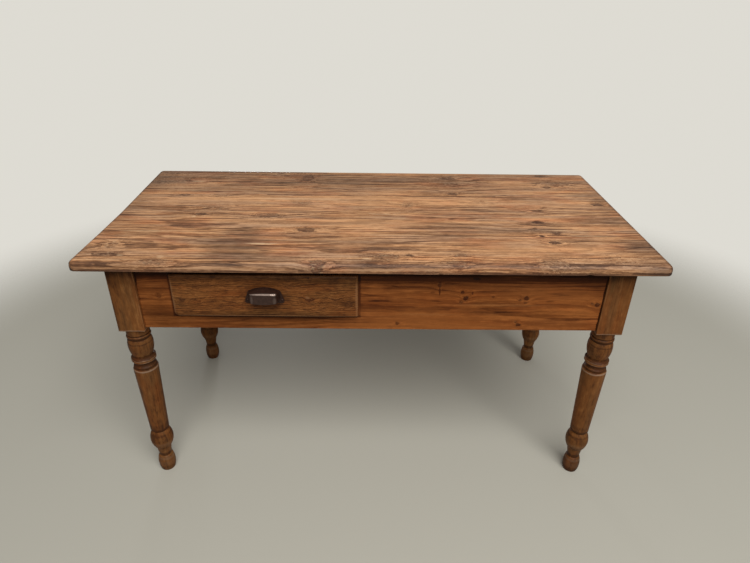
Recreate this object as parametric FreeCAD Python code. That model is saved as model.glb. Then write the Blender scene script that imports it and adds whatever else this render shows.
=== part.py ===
import FreeCAD, Part
import os

# A farmhouse work table: plank top, four turned legs, four aprons and one lipped drawer with a cup pull.
# Lengths are in millimetres. +X runs along the table, to the right as one faces the drawer, +Y runs away
# from the drawer side and +Z up. The origin is on the floor, under the middle of the top.

# Top
table_height = 770.0
top_length = 1518.0
top_depth = 730.0
top_thickness = 27.0
top_corner_radius = 18.0
top_upper_round = 15.0
top_lower_round = 2.0
# Widths of the boards, from the front edge to the back edge, as shares of the top's depth
board_width_shares = (0.226, 0.226, 0.216, 0.332)
seam_bevel = 0.8
dowels_per_seam = 5
dowel_diameter = 8.0
dowel_length = 40.0

# Legs: a square head with a turning below it, all from one square blank
overhang_end = 74.0
overhang_front = 35.0
leg_square = 71.0
leg_head_height = 202.0
leg_head_round = 2.0
leg_head_chamfer = 1.5
turning_allowance = 1.0
collar_height = 20.0
collar_radius = 31.5
collar_groove_height = 3.0
collar_groove_radius = 28.8
bead_height = 11.0
bead_radius = 33.2
bead_foot_radius = 29.3
bead_groove_height = 3.0
ball_shoulder_height = 1.5
ball_shoulder_radius = 31.8
ball_height = 55.0
ball_neck_height = 4.0
ball_neck_radius = 27.6
ring_slope_height = 5.0
ring_slope_radius = 31.8
ring_edge_radius = 33.9
ring_face_height = 8.0
ring_hollow_radius = 33.1
ring_under_height = 2.0
ring_under_radius = 31.0
cove_height = 16.0
cove_radius = 26.3
cove_foot_radius = 30.2
fillet_height = 4.5
fillet_radius = 31.4
fillet_foot_radius = 30.6
shoulder_groove_height = 3.0
shoulder_groove_radius = 29.4
shoulder_height = 4.5
shoulder_middle_radius = 33.2
shaft_foot_radius = 27.2
shaft_groove_height = 7.0
shaft_groove_radius = 23.5
bulb_height = 68.0
bulb_radius = 33.9
bulb_foot_radius = 23.4
flare_height = 36.0
flare_middle_radius = 19.9
neck_radius = 18.0
foot_shoulder_height = 3.0
foot_shoulder_radius = 21.5
foot_height = 55.0
foot_radius = 25.6
floor_radius = 21.0

# Aprons, tenoned into the leg heads
apron_height = 192.0
apron_thickness = 22.0
apron_setback = 7.0
apron_edge_round = 1.5
tenon_thickness = 8.0
tenon_length = 38.0
tenon_shoulder_low = 15.0
tenon_shoulder_high = 25.0

# Drawer front, lipped over the opening in the front apron
drawer_leg_gap = 90.0
drawer_front_width = 488.0
drawer_front_height = 126.0
drawer_rail_height = 43.5
lip_thickness = 12.0
lip_overlap = 9.0
lip_gap = 0.3
lip_corner_radius = 4.0
lip_low_left_radius = 15.0
lip_edge_round = 8.0
front_inner_thickness = 10.0

# Drawer box
drawer_side_gap = 1.0
drawer_top_gap = 2.0
runner_gap = 0.3
side_thickness = 12.0
side_length = 430.0
tail_count = 4
tail_share = 0.5
tail_splay = 1.5
bottom_thickness = 6.0
bottom_height = 8.0
bottom_groove_depth = 6.0
bottom_edge_gap = 0.5
back_thickness = 12.0
back_inset = 6.0
back_drop = 10.0
back_housing = 4.0
nail_radius = 0.9
nail_head_radius = 1.7
nail_head_height = 0.8
nail_length = 28.0
nail_point = 3.0
back_nails_per_side = 2
bottom_nails = 4

# Turn button that stops the open drawer behind the front apron
stop_width = 20.0
stop_thickness = 12.0
stop_height = 48.0
stop_rise = 12.0
stop_round = 4.0

# Runners, guides and kickers that carry the drawer
runner_width = 50.0
runner_height = 20.0
runner_inside = 20.0
guide_width = 15.0
guide_height = 20.0
guide_screw_count = 3
kicker_width = 40.0
kicker_inside = 21.0
stub_length = 8.0
stub_shoulder = 5.0

# Corner braces
brace_clearance = 12.0
brace_thickness = 20.0
brace_gap = 4.0
brace_screws_per_end = 2

# Wooden buttons under the top
button_length = 38.0
button_width = 30.0
button_height = 18.0
button_gap = 1.5
button_slack = 2.0
button_margin = 26.0
tongue_height = 10.0
tongue_entry = 9.0
buttons_right_of_drawer = 3
end_apron_buttons = 2

# Wood screws
screw_radius = 2.0
screw_head_radius = 4.2
screw_point = 6.0
screw_slot_width = 1.1
screw_slot_depth = 1.2
screw_sink = 0.5
button_screw_length = 32.0
brace_screw_length = 26.0
guide_screw_length = 32.0
stop_screw_length = 20.0

# Cup pull
plate_width = 102.0
plate_height = 47.0
plate_rise = 45.5
plate_thickness = 2.5
plate_side_height = 11.0
plate_shoulder_width = 84.0
plate_shoulder_height = 36.0
plate_ear_round = 7.0
cup_depth = 28.0
cup_wall = 2.5
cup_back_width = 82.0
cup_front_width = 68.0
cup_corner_radius = 7.0
cup_front_height = 40.5
cup_rear_height = 44.5
cup_arch_radius = 88.0
cup_arch_rise = 4.0
cup_lip_round = 4.0
cup_rise = 9.5
cup_bow = 5.5
pull_screw_inset = 5.5
pull_screw_rise = 9.5
pull_screw_radius = 1.6
pull_screw_length = 16.0
pull_screw_head_radius = 3.6
pull_screw_head_height = 2.0

# How far a cutting shape runs past what it cuts
overrun = 5.0

# Places that follow from the sizes
half_length = top_length / 2
half_depth = top_depth / 2
underside_z = table_height - top_thickness
leg_x = half_length - overhang_end - leg_square / 2
leg_y = half_depth - overhang_front - leg_square / 2
leg_inner_x = leg_x - leg_square / 2
leg_inner_y = leg_y - leg_square / 2
head_bottom_z = underside_z - leg_head_height
turned_radius = leg_square / 2 - turning_allowance

apron_bottom_z = underside_z - apron_height
long_outer_y = leg_y + leg_square / 2 - apron_setback
long_inner_y = long_outer_y - apron_thickness
end_outer_x = leg_x + leg_square / 2 - apron_setback
end_inner_x = end_outer_x - apron_thickness

lip_left = -leg_inner_x + drawer_leg_gap
lip_right = lip_left + drawer_front_width
drawer_centre_x = (lip_left + lip_right) / 2
lip_bottom_z = apron_bottom_z + drawer_rail_height
lip_top_z = lip_bottom_z + drawer_front_height
opening_left = lip_left + lip_overlap
opening_right = lip_right - lip_overlap
opening_bottom_z = lip_bottom_z + lip_overlap
opening_top_z = lip_top_z - lip_overlap

lip_back_y = -long_outer_y - lip_gap
lip_face_y = lip_back_y - lip_thickness
box_front_y = lip_back_y + front_inner_thickness
box_left = opening_left + drawer_side_gap
box_right = opening_right - drawer_side_gap
box_bottom_z = opening_bottom_z + runner_gap
box_top_z = opening_top_z - drawer_top_gap
box_rear_y = box_front_y + side_length
panel_bottom_z = box_bottom_z + bottom_height
panel_top_z = panel_bottom_z + bottom_thickness
back_rear_y = box_rear_y - back_inset
back_front_y = back_rear_y - back_thickness
back_top_z = box_top_z - back_drop
stop_top_z = opening_top_z + stop_rise
stop_bottom_z = stop_top_z - stop_height

plate_bottom_z = lip_bottom_z + plate_rise
plate_top_z = plate_bottom_z + plate_height
plate_face_y = lip_face_y - plate_thickness
cup_face_y = lip_face_y - cup_depth

along_x = FreeCAD.Vector(1, 0, 0)
along_y = FreeCAD.Vector(0, 1, 0)
along_z = FreeCAD.Vector(0, 0, 1)
origin = FreeCAD.Vector(0, 0, 0)

# The turning, from the head's underside down. Each row is one stretch: its height, its radius half way down,
# or None where it is straight, and its radius at its lower end. The shaft takes the height that is left.
stretches_above_shaft = (
    (collar_height, None, collar_radius),
    (collar_groove_height, None, collar_groove_radius),
    (bead_height, bead_radius, bead_foot_radius),
    (bead_groove_height, None, bead_foot_radius),
    (ball_shoulder_height, None, ball_shoulder_radius),
    (ball_height, turned_radius, ball_neck_radius),
    (ball_neck_height, None, ball_neck_radius),
    (ring_slope_height, ring_slope_radius, ring_edge_radius),
    (ring_face_height, ring_hollow_radius, ring_edge_radius),
    (ring_under_height, None, ring_under_radius),
    (cove_height, cove_radius, cove_foot_radius),
    (fillet_height, fillet_radius, fillet_foot_radius),
    (shoulder_groove_height, None, shoulder_groove_radius),
    (shoulder_height, shoulder_middle_radius, turned_radius),
)
stretches_below_shaft = (
    (shaft_groove_height, None, shaft_groove_radius),
    (bulb_height, bulb_radius, bulb_foot_radius),
    (flare_height, flare_middle_radius, neck_radius),
    (foot_shoulder_height, None, foot_shoulder_radius),
    (foot_height, foot_radius, floor_radius),
)


def block(x0, x1, y0, y1, z0, z1):
    """A box between two corners."""
    return Part.makeBox(x1 - x0, y1 - y0, z1 - z0, FreeCAD.Vector(x0, y0, z0))


def line(start, end):
    return Part.LineSegment(start, end).toShape()


def arc(start, middle, end):
    return Part.Arc(start, middle, end).toShape()


def prism(points, reach):
    """A prism on a closed polygon of points, pushed along the vector reach."""
    outline = Part.makePolygon(list(points) + [points[0]])
    return Part.Face(outline).extrude(reach)


def joined(shapes):
    """One solid from shapes that touch or overlap."""
    return shapes[0].multiFuse(shapes[1:]).removeSplitter()


def edges_level_at(shape, z):
    """The edges that lie wholly at height z."""
    near = shape.BoundBox.DiagonalLength * 1e-6
    return [e for e in shape.Edges if max(abs(e.BoundBox.ZMin - z), abs(e.BoundBox.ZMax - z)) < near]


def edges_through(shape, x, z):
    """The straight edges along Y that pass through a place in X and Z."""
    near = shape.BoundBox.DiagonalLength * 1e-6
    chosen = []
    for edge in edges_along(shape, along_y):
        start = edge.Vertexes[0].Point
        if abs(start.x - x) < near and abs(start.z - z) < near:
            chosen.append(edge)
    return chosen


def edges_along(shape, direction):
    """The straight edges that run along a direction."""
    chosen = []
    for edge in shape.Edges:
        run = edge.Vertexes[-1].Point - edge.Vertexes[0].Point
        if run.Length > 0 and run.cross(direction).Length < run.Length * 1e-6:
            chosen.append(edge)
    return chosen


def aimed(shape, place, direction):
    """A shape made along +Z at the origin, turned to a direction and moved to a place."""
    moved = shape.copy()
    moved.Placement = FreeCAD.Placement(place, FreeCAD.Rotation(along_z, direction))
    return moved


def turned(points):
    """A solid turned about Z from (radius, height) points, the first and last of them on the axis."""
    places = [FreeCAD.Vector(radius, 0, height) for radius, height in points]
    outline = Part.makePolygon(places + [places[0]])
    return Part.Face(outline).revolve(origin, along_z, 360)


def spread(first, last, count):
    """Evenly spaced places from first to last."""
    if count == 1:
        return [(first + last) / 2]
    return [first + (last - first) * index / (count - 1) for index in range(count)]


def screw_body(length):
    """A countersunk wood screw without its slot, its head at the origin and its point towards +Z."""
    head_height = screw_head_radius - screw_radius
    return turned([
        (0, 0),
        (screw_head_radius, 0),
        (screw_radius, head_height),
        (screw_radius, length - screw_point),
        (0, length),
    ])


class Screws:
    """A group of alike wood screws, and the room that they take in the wood."""

    def __init__(self, length):
        self.body = screw_body(length)
        slot = block(-screw_head_radius, screw_head_radius, -screw_slot_width / 2, screw_slot_width / 2,
                     -overrun, screw_slot_depth)
        self.slotted = self.body.cut(slot)
        self.solids = []
        self.room = []

    def add(self, place, direction):
        self.solids.append(aimed(self.slotted, place, direction))
        self.room.append(aimed(self.body, place, direction))


def top_slab():
    """The whole top with its rounded corners and edges, before it is parted into boards."""
    slab = block(-half_length, half_length, -half_depth, half_depth, underside_z, table_height)
    slab = slab.makeFillet(top_corner_radius, edges_along(slab, along_z))
    slab = slab.makeFillet(top_upper_round, edges_level_at(slab, table_height))
    return slab.makeFillet(top_lower_round, edges_level_at(slab, underside_z))


def board_edges():
    """The Y of the boards' edges, from the front edge of the top to its back edge."""
    places = [-half_depth]
    for share in board_width_shares:
        places.append(places[-1] + share * top_depth)
    return places


def top_dowels():
    """Dowels across each glued seam, half way up the boards."""
    dowels = []
    middle_z = underside_z + top_thickness / 2
    pitch = top_length / dowels_per_seam
    for seam_y in board_edges()[1:-1]:
        for x in spread(-half_length + pitch / 2, half_length - pitch / 2, dowels_per_seam):
            start = FreeCAD.Vector(x, seam_y - dowel_length / 2, middle_z)
            dowels.append(Part.makeCylinder(dowel_diameter / 2, dowel_length, start, along_y))
    return dowels


def top_boards(dowels, button_screws):
    """The boards of the top, front to back, with bevelled seams and the holes of dowels and screws."""
    slab = top_slab()
    edges = board_edges()
    start_x = -half_length - overrun
    bevels = []
    for seam_y in edges[1:-1]:
        corners = [
            FreeCAD.Vector(start_x, seam_y - seam_bevel, table_height),
            FreeCAD.Vector(start_x, seam_y + seam_bevel, table_height),
            FreeCAD.Vector(start_x, seam_y, table_height - seam_bevel),
        ]
        bevels.append(prism(corners, along_x * (top_length + 2 * overrun)))
    edges[0] -= overrun
    edges[-1] += overrun
    boards = []
    for low_y, high_y in zip(edges[:-1], edges[1:]):
        span = block(start_x, -start_x, low_y, high_y, underside_z - overrun, table_height + overrun)
        boards.append(slab.common(span).cut(bevels + dowels + button_screws.room))
    return boards


def turning():
    """The turned part of a leg about the Z axis, from the head's underside to the floor."""
    used_height = sum(row[0] for row in stretches_above_shaft + stretches_below_shaft)
    shaft = (head_bottom_z - used_height, None, shaft_foot_radius)
    radius = collar_radius
    z = head_bottom_z
    edges = [line(FreeCAD.Vector(0, 0, z), FreeCAD.Vector(radius, 0, z))]
    for height, middle_radius, end_radius in stretches_above_shaft + (shaft,) + stretches_below_shaft:
        start = FreeCAD.Vector(radius, 0, z)
        end = FreeCAD.Vector(end_radius, 0, z - height)
        if middle_radius is None:
            edges.append(line(start, end))
        else:
            edges.append(arc(start, FreeCAD.Vector(middle_radius, 0, z - height / 2), end))
        radius = end_radius
        z = z - height
    floor_middle = FreeCAD.Vector(0, 0, z)
    edges.append(line(FreeCAD.Vector(radius, 0, z), floor_middle))
    edges.append(line(floor_middle, FreeCAD.Vector(0, 0, head_bottom_z)))
    return Part.Face(Part.Wire(edges)).revolve(origin, along_z, 360)


def leg_blank():
    """A leg about the Z axis, before its mortises: the square head on the turning."""
    half = leg_square / 2
    head = block(-half, half, -half, half, head_bottom_z, underside_z)
    head = head.makeFillet(leg_head_round, edges_along(head, along_z))
    head = head.makeChamfer(leg_head_chamfer, edges_level_at(head, head_bottom_z))
    return joined([head, turning()])


def leg(blank, side_x, side_y, aprons):
    """One leg at its corner, mortised for the tenons of its two aprons."""
    standing = blank.copy()
    standing.translate(FreeCAD.Vector(side_x * leg_x, side_y * leg_y, 0))
    return standing.cut(aprons)


def apron_blank(half_span, y0, y1):
    """A long-grain apron along X between shoulders at plus and minus half_span, with its tenons."""
    board = block(-half_span, half_span, y0, y1, apron_bottom_z, underside_z)
    low_edges = [e for e in edges_along(board, along_x) if e.BoundBox.ZMax < underside_z]
    board = board.makeFillet(apron_edge_round, low_edges)
    reach = half_span + tenon_length
    middle_y = (y0 + y1) / 2
    tenons = block(-reach, reach, middle_y - tenon_thickness / 2, middle_y + tenon_thickness / 2,
                   apron_bottom_z + tenon_shoulder_low, underside_z - tenon_shoulder_high)
    return joined([board, tenons])


def end_apron(side_x):
    """The left or right apron, which runs along Y between the legs."""
    apron = apron_blank(leg_inner_y, -end_outer_x, -end_inner_x)
    apron.rotate(origin, along_z, 90 * side_x)
    return apron


def drawer_opening():
    """The room cut through the front apron for the drawer."""
    return block(opening_left, opening_right, -long_outer_y - overrun, -long_inner_y + overrun,
                 opening_bottom_z, opening_top_z)


def button(mortise_slack):
    """A button at the origin with its tongue towards -X, as made or, with a slack, as its mortise."""
    half = button_width / 2 + mortise_slack / 2
    tongue_top_z = underside_z - button_height + tongue_height
    tongue = block(-tongue_entry - mortise_slack, button_gap, -half, half,
                   underside_z - button_height - mortise_slack, tongue_top_z)
    if mortise_slack > 0:
        return tongue
    body = block(button_gap, button_gap + button_length, -half, half, underside_z - button_height, underside_z)
    return joined([tongue, body])


def button_places():
    """Where the buttons meet the aprons' inner faces: x, y and the turn from +X to the table's inside."""
    reach_x = leg_inner_x - button_margin
    reach_y = leg_inner_y - 2 * button_margin
    along_front = [-reach_x] + spread(lip_right + 2 * button_margin, reach_x, buttons_right_of_drawer)
    places = [(x, -long_inner_y, 90) for x in along_front]
    places += [(x, long_inner_y, -90) for x in along_front + [drawer_centre_x]]
    for y in spread(-reach_y, reach_y, end_apron_buttons):
        places.append((-end_inner_x, y, 0))
        places.append((end_inner_x, y, 180))
    return places


def top_buttons():
    """The buttons, their mortises in the aprons and their screws."""
    buttons = []
    mortises = []
    screws = Screws(button_screw_length)
    for x, y, turn in button_places():
        placement = FreeCAD.Placement(FreeCAD.Vector(x, y, 0), FreeCAD.Rotation(along_z, turn))
        for group, slack in ((buttons, 0), (mortises, button_slack)):
            shape = button(slack)
            shape.Placement = placement
            group.append(shape)
        middle = FreeCAD.Vector(button_gap + button_length / 2, 0, underside_z - button_height)
        screws.add(placement.multVec(middle), along_z)
    return [b.cut(screws.room) for b in buttons], mortises, screws


def stubbed_rail(x0, x1, z0, z1):
    """A rail along Y from apron to apron, with stub tenons that enter them."""
    rail = block(x0, x1, -long_inner_y, long_inner_y, z0, z1)
    reach = long_inner_y + stub_length
    stub = block(x0 + stub_shoulder, x1 - stub_shoulder, -reach, reach, z0 + stub_shoulder, z1 - stub_shoulder)
    return joined([rail, stub])


def mirrored_in_drawer(shape):
    """The same shape on the other side of the drawer's middle."""
    return shape.mirror(FreeCAD.Vector(drawer_centre_x, 0, 0), along_x)


def left_runner():
    """The rail that the drawer's left side slides on."""
    inner_x = opening_left + runner_inside
    return stubbed_rail(inner_x - runner_width, inner_x, opening_bottom_z - runner_height, opening_bottom_z)


def left_kicker():
    """The rail over the drawer's left side that keeps the open drawer level."""
    inner_x = opening_left + kicker_inside
    return stubbed_rail(inner_x - kicker_width, inner_x, opening_top_z, underside_z)


def left_guide():
    """The strip on the runner that keeps the drawer straight."""
    return block(opening_left - guide_width, opening_left, -long_inner_y, long_inner_y,
                 opening_bottom_z, opening_bottom_z + guide_height)


def guide_screws():
    """Screws down through both guides into the runners."""
    screws = Screws(guide_screw_length)
    pitch = 2 * long_inner_y / guide_screw_count
    for y in spread(-long_inner_y + pitch / 2, long_inner_y - pitch / 2, guide_screw_count):
        for x in (opening_left - guide_width / 2, opening_right + guide_width / 2):
            screws.add(FreeCAD.Vector(x, y, opening_bottom_z + guide_height), -along_z)
    return screws


def brace_reaches():
    """How far along the aprons a brace's outer and inner faces meet them, from the aprons' inner corner."""
    past_leg = (end_inner_x - leg_inner_x) + (long_inner_y - leg_inner_y)
    outer = past_leg + brace_clearance * 2 ** 0.5
    return outer, outer + brace_thickness * 2 ** 0.5


def brace_levels():
    """The bottom and top of the braces, above the drawer's guides and below its kickers."""
    return opening_bottom_z + guide_height + brace_gap, opening_top_z - brace_gap


def brace_screws():
    """Screws through the braces' ends into the aprons, and the recesses over their heads."""
    outer, inner = brace_reaches()
    low, high = brace_levels()
    middle = (outer + inner) / 2
    seat = (inner - outer) / 2 - screw_head_radius - screw_sink
    pitch = (high - low) / brace_screws_per_end
    screws = Screws(brace_screw_length)
    recesses = []
    for side_x in (-1, 1):
        for side_y in (-1, 1):
            for z in spread(low + pitch / 2, high - pitch / 2, brace_screws_per_end):
                at_long = FreeCAD.Vector(side_x * (end_inner_x - middle), side_y * (long_inner_y - seat), z)
                at_end = FreeCAD.Vector(side_x * (end_inner_x - seat), side_y * (long_inner_y - middle), z)
                for place, direction in ((at_long, along_y * side_y), (at_end, along_x * side_x)):
                    screws.add(place, direction)
                    recess = Part.makeCylinder(screw_head_radius, brace_thickness, place, -direction)
                    recesses.append(recess)
    return screws, recesses


def corner_brace(side_x, side_y, screws, recesses):
    """A brace across one inner corner, behind the leg."""
    outer, inner = brace_reaches()
    low, high = brace_levels()
    plan = ((outer, 0), (inner, 0), (0, inner), (0, outer))
    corners = []
    for along, across in plan:
        corners.append(FreeCAD.Vector(side_x * (end_inner_x - along), side_y * (long_inner_y - across), low))
    return prism(corners, along_z * (high - low)).cut(screws.room + recesses)


def panel(edge_gap):
    """The drawer's bottom, or with no edge gap the groove room that it sits in."""
    reach = bottom_groove_depth - edge_gap
    return block(box_left + side_thickness - reach, box_right - side_thickness + reach,
                 box_front_y - reach, back_rear_y, panel_bottom_z, panel_top_z)


def side_tails():
    """The dovetails at the front end of the drawer's left side."""
    pitch = (box_top_z - box_bottom_z) / tail_count
    half_root = pitch * tail_share / 2
    half_tip = half_root + tail_splay
    tails = []
    for index in range(tail_count):
        z = box_bottom_z + pitch * (index + 0.5)
        corners = [
            FreeCAD.Vector(box_left, box_front_y, z - half_root),
            FreeCAD.Vector(box_left, lip_back_y, z - half_tip),
            FreeCAD.Vector(box_left, lip_back_y, z + half_tip),
            FreeCAD.Vector(box_left, box_front_y, z + half_root),
        ]
        tails.append(prism(corners, along_x * side_thickness))
    return tails


def left_side_blank():
    """The drawer's left side with its tails and the groove of the bottom."""
    board = block(box_left, box_left + side_thickness, box_front_y, box_rear_y, box_bottom_z, box_top_z)
    groove = panel(0)
    groove = joined([groove, groove.translated(along_y * (box_rear_y - back_rear_y))])
    return joined([board] + side_tails()).cut(groove)


def drawer_back_blank():
    """The drawer's back, housed in the sides and standing on the bottom."""
    reach = side_thickness - back_housing
    return block(box_left + reach, box_right - reach, back_front_y, back_rear_y, panel_top_z, back_top_z)


def nail():
    """A nail with its head at the origin and its point towards +Z."""
    return turned([
        (0, 0),
        (nail_head_radius, 0),
        (nail_head_radius, nail_head_height),
        (nail_radius, nail_head_height),
        (nail_radius, nail_length - nail_point),
        (0, nail_length),
    ])


def drawer_nails():
    """Nails through the sides into the back's ends, and up through the bottom into the back."""
    nails = []
    middle_y = (back_front_y + back_rear_y) / 2
    pitch = (back_top_z - panel_top_z) / back_nails_per_side
    for z in spread(panel_top_z + pitch / 2, back_top_z - pitch / 2, back_nails_per_side):
        nails.append(aimed(nail(), FreeCAD.Vector(box_left, middle_y, z), along_x))
        nails.append(aimed(nail(), FreeCAD.Vector(box_right, middle_y, z), -along_x))
    pitch = (box_right - box_left) / bottom_nails
    for x in spread(box_left + pitch / 2, box_right - pitch / 2, bottom_nails):
        nails.append(aimed(nail(), FreeCAD.Vector(x, middle_y, panel_bottom_z), along_z))
    return nails


def stop_button():
    """The turn button on the drawer's back, turned up behind the front apron."""
    half = stop_width / 2
    shape = block(drawer_centre_x - half, drawer_centre_x + half, back_front_y - stop_thickness, back_front_y,
                  stop_bottom_z, stop_top_z)
    return shape.makeFillet(stop_round, edges_along(shape, along_y))


def stop_screw():
    """The screw that the turn button pivots on."""
    screws = Screws(stop_screw_length)
    middle_z = (back_top_z + stop_bottom_z) / 2
    screws.add(FreeCAD.Vector(drawer_centre_x, back_front_y - stop_thickness, middle_z), along_y)
    return screws


def drawer_front_blank():
    """The lipped front with its rounded face, before the tails' sockets."""
    lip = block(lip_left, lip_right, lip_face_y, lip_back_y, lip_bottom_z, lip_top_z)
    corners = (
        (lip_left, lip_bottom_z, lip_low_left_radius),
        (lip_right, lip_bottom_z, lip_corner_radius),
        (lip_left, lip_top_z, lip_corner_radius),
        (lip_right, lip_top_z, lip_corner_radius),
    )
    for x, z, radius in corners:
        lip = lip.makeFillet(radius, edges_through(lip, x, z))
    near = lip_thickness / 2
    face_edges = [e for e in lip.Edges if e.BoundBox.YMax < lip_face_y + near]
    lip = lip.makeFillet(lip_edge_round, face_edges)
    inner = block(box_left, box_right, lip_back_y, box_front_y, box_bottom_z, box_top_z)
    return joined([lip, inner])


def pull_plate():
    """The pull's back plate: flat below, with an arched top, sloping sides and rounded ears."""
    half = plate_width / 2
    half_shoulder = plate_shoulder_width / 2
    ear_z = plate_bottom_z + plate_side_height
    shoulder_z = plate_bottom_z + plate_shoulder_height
    left_low = FreeCAD.Vector(drawer_centre_x - half, plate_face_y, plate_bottom_z)
    right_low = FreeCAD.Vector(drawer_centre_x + half, plate_face_y, plate_bottom_z)
    left_ear = FreeCAD.Vector(drawer_centre_x - half, plate_face_y, ear_z)
    right_ear = FreeCAD.Vector(drawer_centre_x + half, plate_face_y, ear_z)
    left_shoulder = FreeCAD.Vector(drawer_centre_x - half_shoulder, plate_face_y, shoulder_z)
    right_shoulder = FreeCAD.Vector(drawer_centre_x + half_shoulder, plate_face_y, shoulder_z)
    crown = FreeCAD.Vector(drawer_centre_x, plate_face_y, plate_top_z)
    edges = [line(left_low, right_low), line(right_low, right_ear), line(right_ear, right_shoulder),
             arc(right_shoulder, crown, left_shoulder), line(left_shoulder, left_ear), line(left_ear, left_low)]
    plate = Part.Face(Part.Wire(edges)).extrude(along_y * plate_thickness)
    return plate.makeFillet(plate_ear_round, edges_along(plate, along_y))


def cup_block(inset, low_z):
    """The cup's outer block, or with an inset the room inside its wall, down to low_z."""
    front_y = cup_face_y + inset
    back_y = plate_face_y
    half_front = cup_front_width / 2 - inset
    half_back = cup_back_width / 2 - inset
    plan = [
        FreeCAD.Vector(drawer_centre_x - half_front, front_y, low_z),
        FreeCAD.Vector(drawer_centre_x + half_front, front_y, low_z),
        FreeCAD.Vector(drawer_centre_x + half_back, back_y, low_z),
        FreeCAD.Vector(drawer_centre_x - half_back, back_y, low_z),
    ]
    shape = prism(plan, along_z * (plate_top_z - low_z))
    front_corners = [e for e in edges_along(shape, along_z) if e.BoundBox.YMax < (front_y + back_y) / 2]
    shape = shape.makeFillet(cup_corner_radius - inset, front_corners)
    front_top = FreeCAD.Vector(drawer_centre_x - plate_width, front_y, plate_bottom_z + cup_front_height - inset)
    rear_top = FreeCAD.Vector(drawer_centre_x - plate_width, back_y, plate_bottom_z + cup_rear_height - inset)
    profile = [
        front_top,
        rear_top,
        FreeCAD.Vector(drawer_centre_x - plate_width, back_y, low_z),
        FreeCAD.Vector(drawer_centre_x - plate_width, front_y, low_z),
    ]
    section = prism(profile, along_x * (2 * plate_width))
    lip_edges = [e for e in edges_along(section, along_x) if e.BoundBox.YMax < (front_y + back_y) / 2
                 and e.BoundBox.ZMin > (low_z + front_top.z) / 2]
    section = section.makeFillet(cup_lip_round - inset, lip_edges)
    arch_radius = cup_arch_radius - inset
    centre = FreeCAD.Vector(drawer_centre_x, back_y, rear_top.z - arch_radius)
    disc = Part.Face(Part.Wire(Part.makeCircle(arch_radius, centre, along_y)))
    arch = disc.extrude(FreeCAD.Vector(0, front_y - back_y, cup_arch_rise))
    return shape.common(section).common(arch)


def cup_under_cut():
    """What is cut off under the cup, so that its front edge bows down in the middle."""
    half = cup_front_width / 2 + cup_corner_radius
    start_y = cup_face_y - overrun
    low_z = plate_bottom_z - overrun
    rim_z = plate_bottom_z + cup_rise
    left = FreeCAD.Vector(drawer_centre_x - half, start_y, rim_z + cup_bow)
    right = FreeCAD.Vector(drawer_centre_x + half, start_y, rim_z + cup_bow)
    low_left = FreeCAD.Vector(drawer_centre_x - half, start_y, low_z)
    low_right = FreeCAD.Vector(drawer_centre_x + half, start_y, low_z)
    middle = FreeCAD.Vector(drawer_centre_x, start_y, rim_z)
    edges = [arc(left, middle, right), line(right, low_right), line(low_right, low_left), line(low_left, left)]
    return Part.Face(Part.Wire(edges)).extrude(along_y * (plate_face_y - start_y))


def pull_screws():
    """The two round-headed screws through the plate's ears, and the room that their shanks take."""
    screws = []
    shanks = []
    reach = plate_width / 2 - pull_screw_inset
    for x in (drawer_centre_x - reach, drawer_centre_x + reach):
        place = FreeCAD.Vector(x, plate_face_y, plate_bottom_z + pull_screw_rise)
        shank = turned([
            (0, 0),
            (pull_screw_radius, 0),
            (pull_screw_radius, pull_screw_length - 2 * pull_screw_radius),
            (0, pull_screw_length),
        ])
        edge = FreeCAD.Vector(pull_screw_head_radius, 0, 0)
        crown = FreeCAD.Vector(0, 0, -pull_screw_head_height)
        middle = FreeCAD.Vector(pull_screw_head_radius * 0.5 ** 0.5, 0, -pull_screw_head_height * 0.5 ** 0.5)
        half_head = Part.Face(Part.Wire([line(origin, edge), arc(edge, middle, crown), line(crown, origin)]))
        head = half_head.revolve(origin, along_z, 360)
        slot = block(-pull_screw_head_radius, pull_screw_head_radius, -screw_slot_width / 2, screw_slot_width / 2,
                     -overrun, -pull_screw_head_height / 2)
        screws.append(aimed(joined([shank, head.cut(slot)]), place, along_y))
        shanks.append(aimed(shank, place, along_y))
    return screws, shanks


def cup_pull(shanks):
    """The pull: a hollow cup, open below, on its plate."""
    outer = cup_block(0, plate_bottom_z).cut(cup_under_cut())
    room = cup_block(cup_wall, plate_bottom_z - overrun)
    return joined([outer.cut(room), pull_plate()]).cut(shanks)


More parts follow.
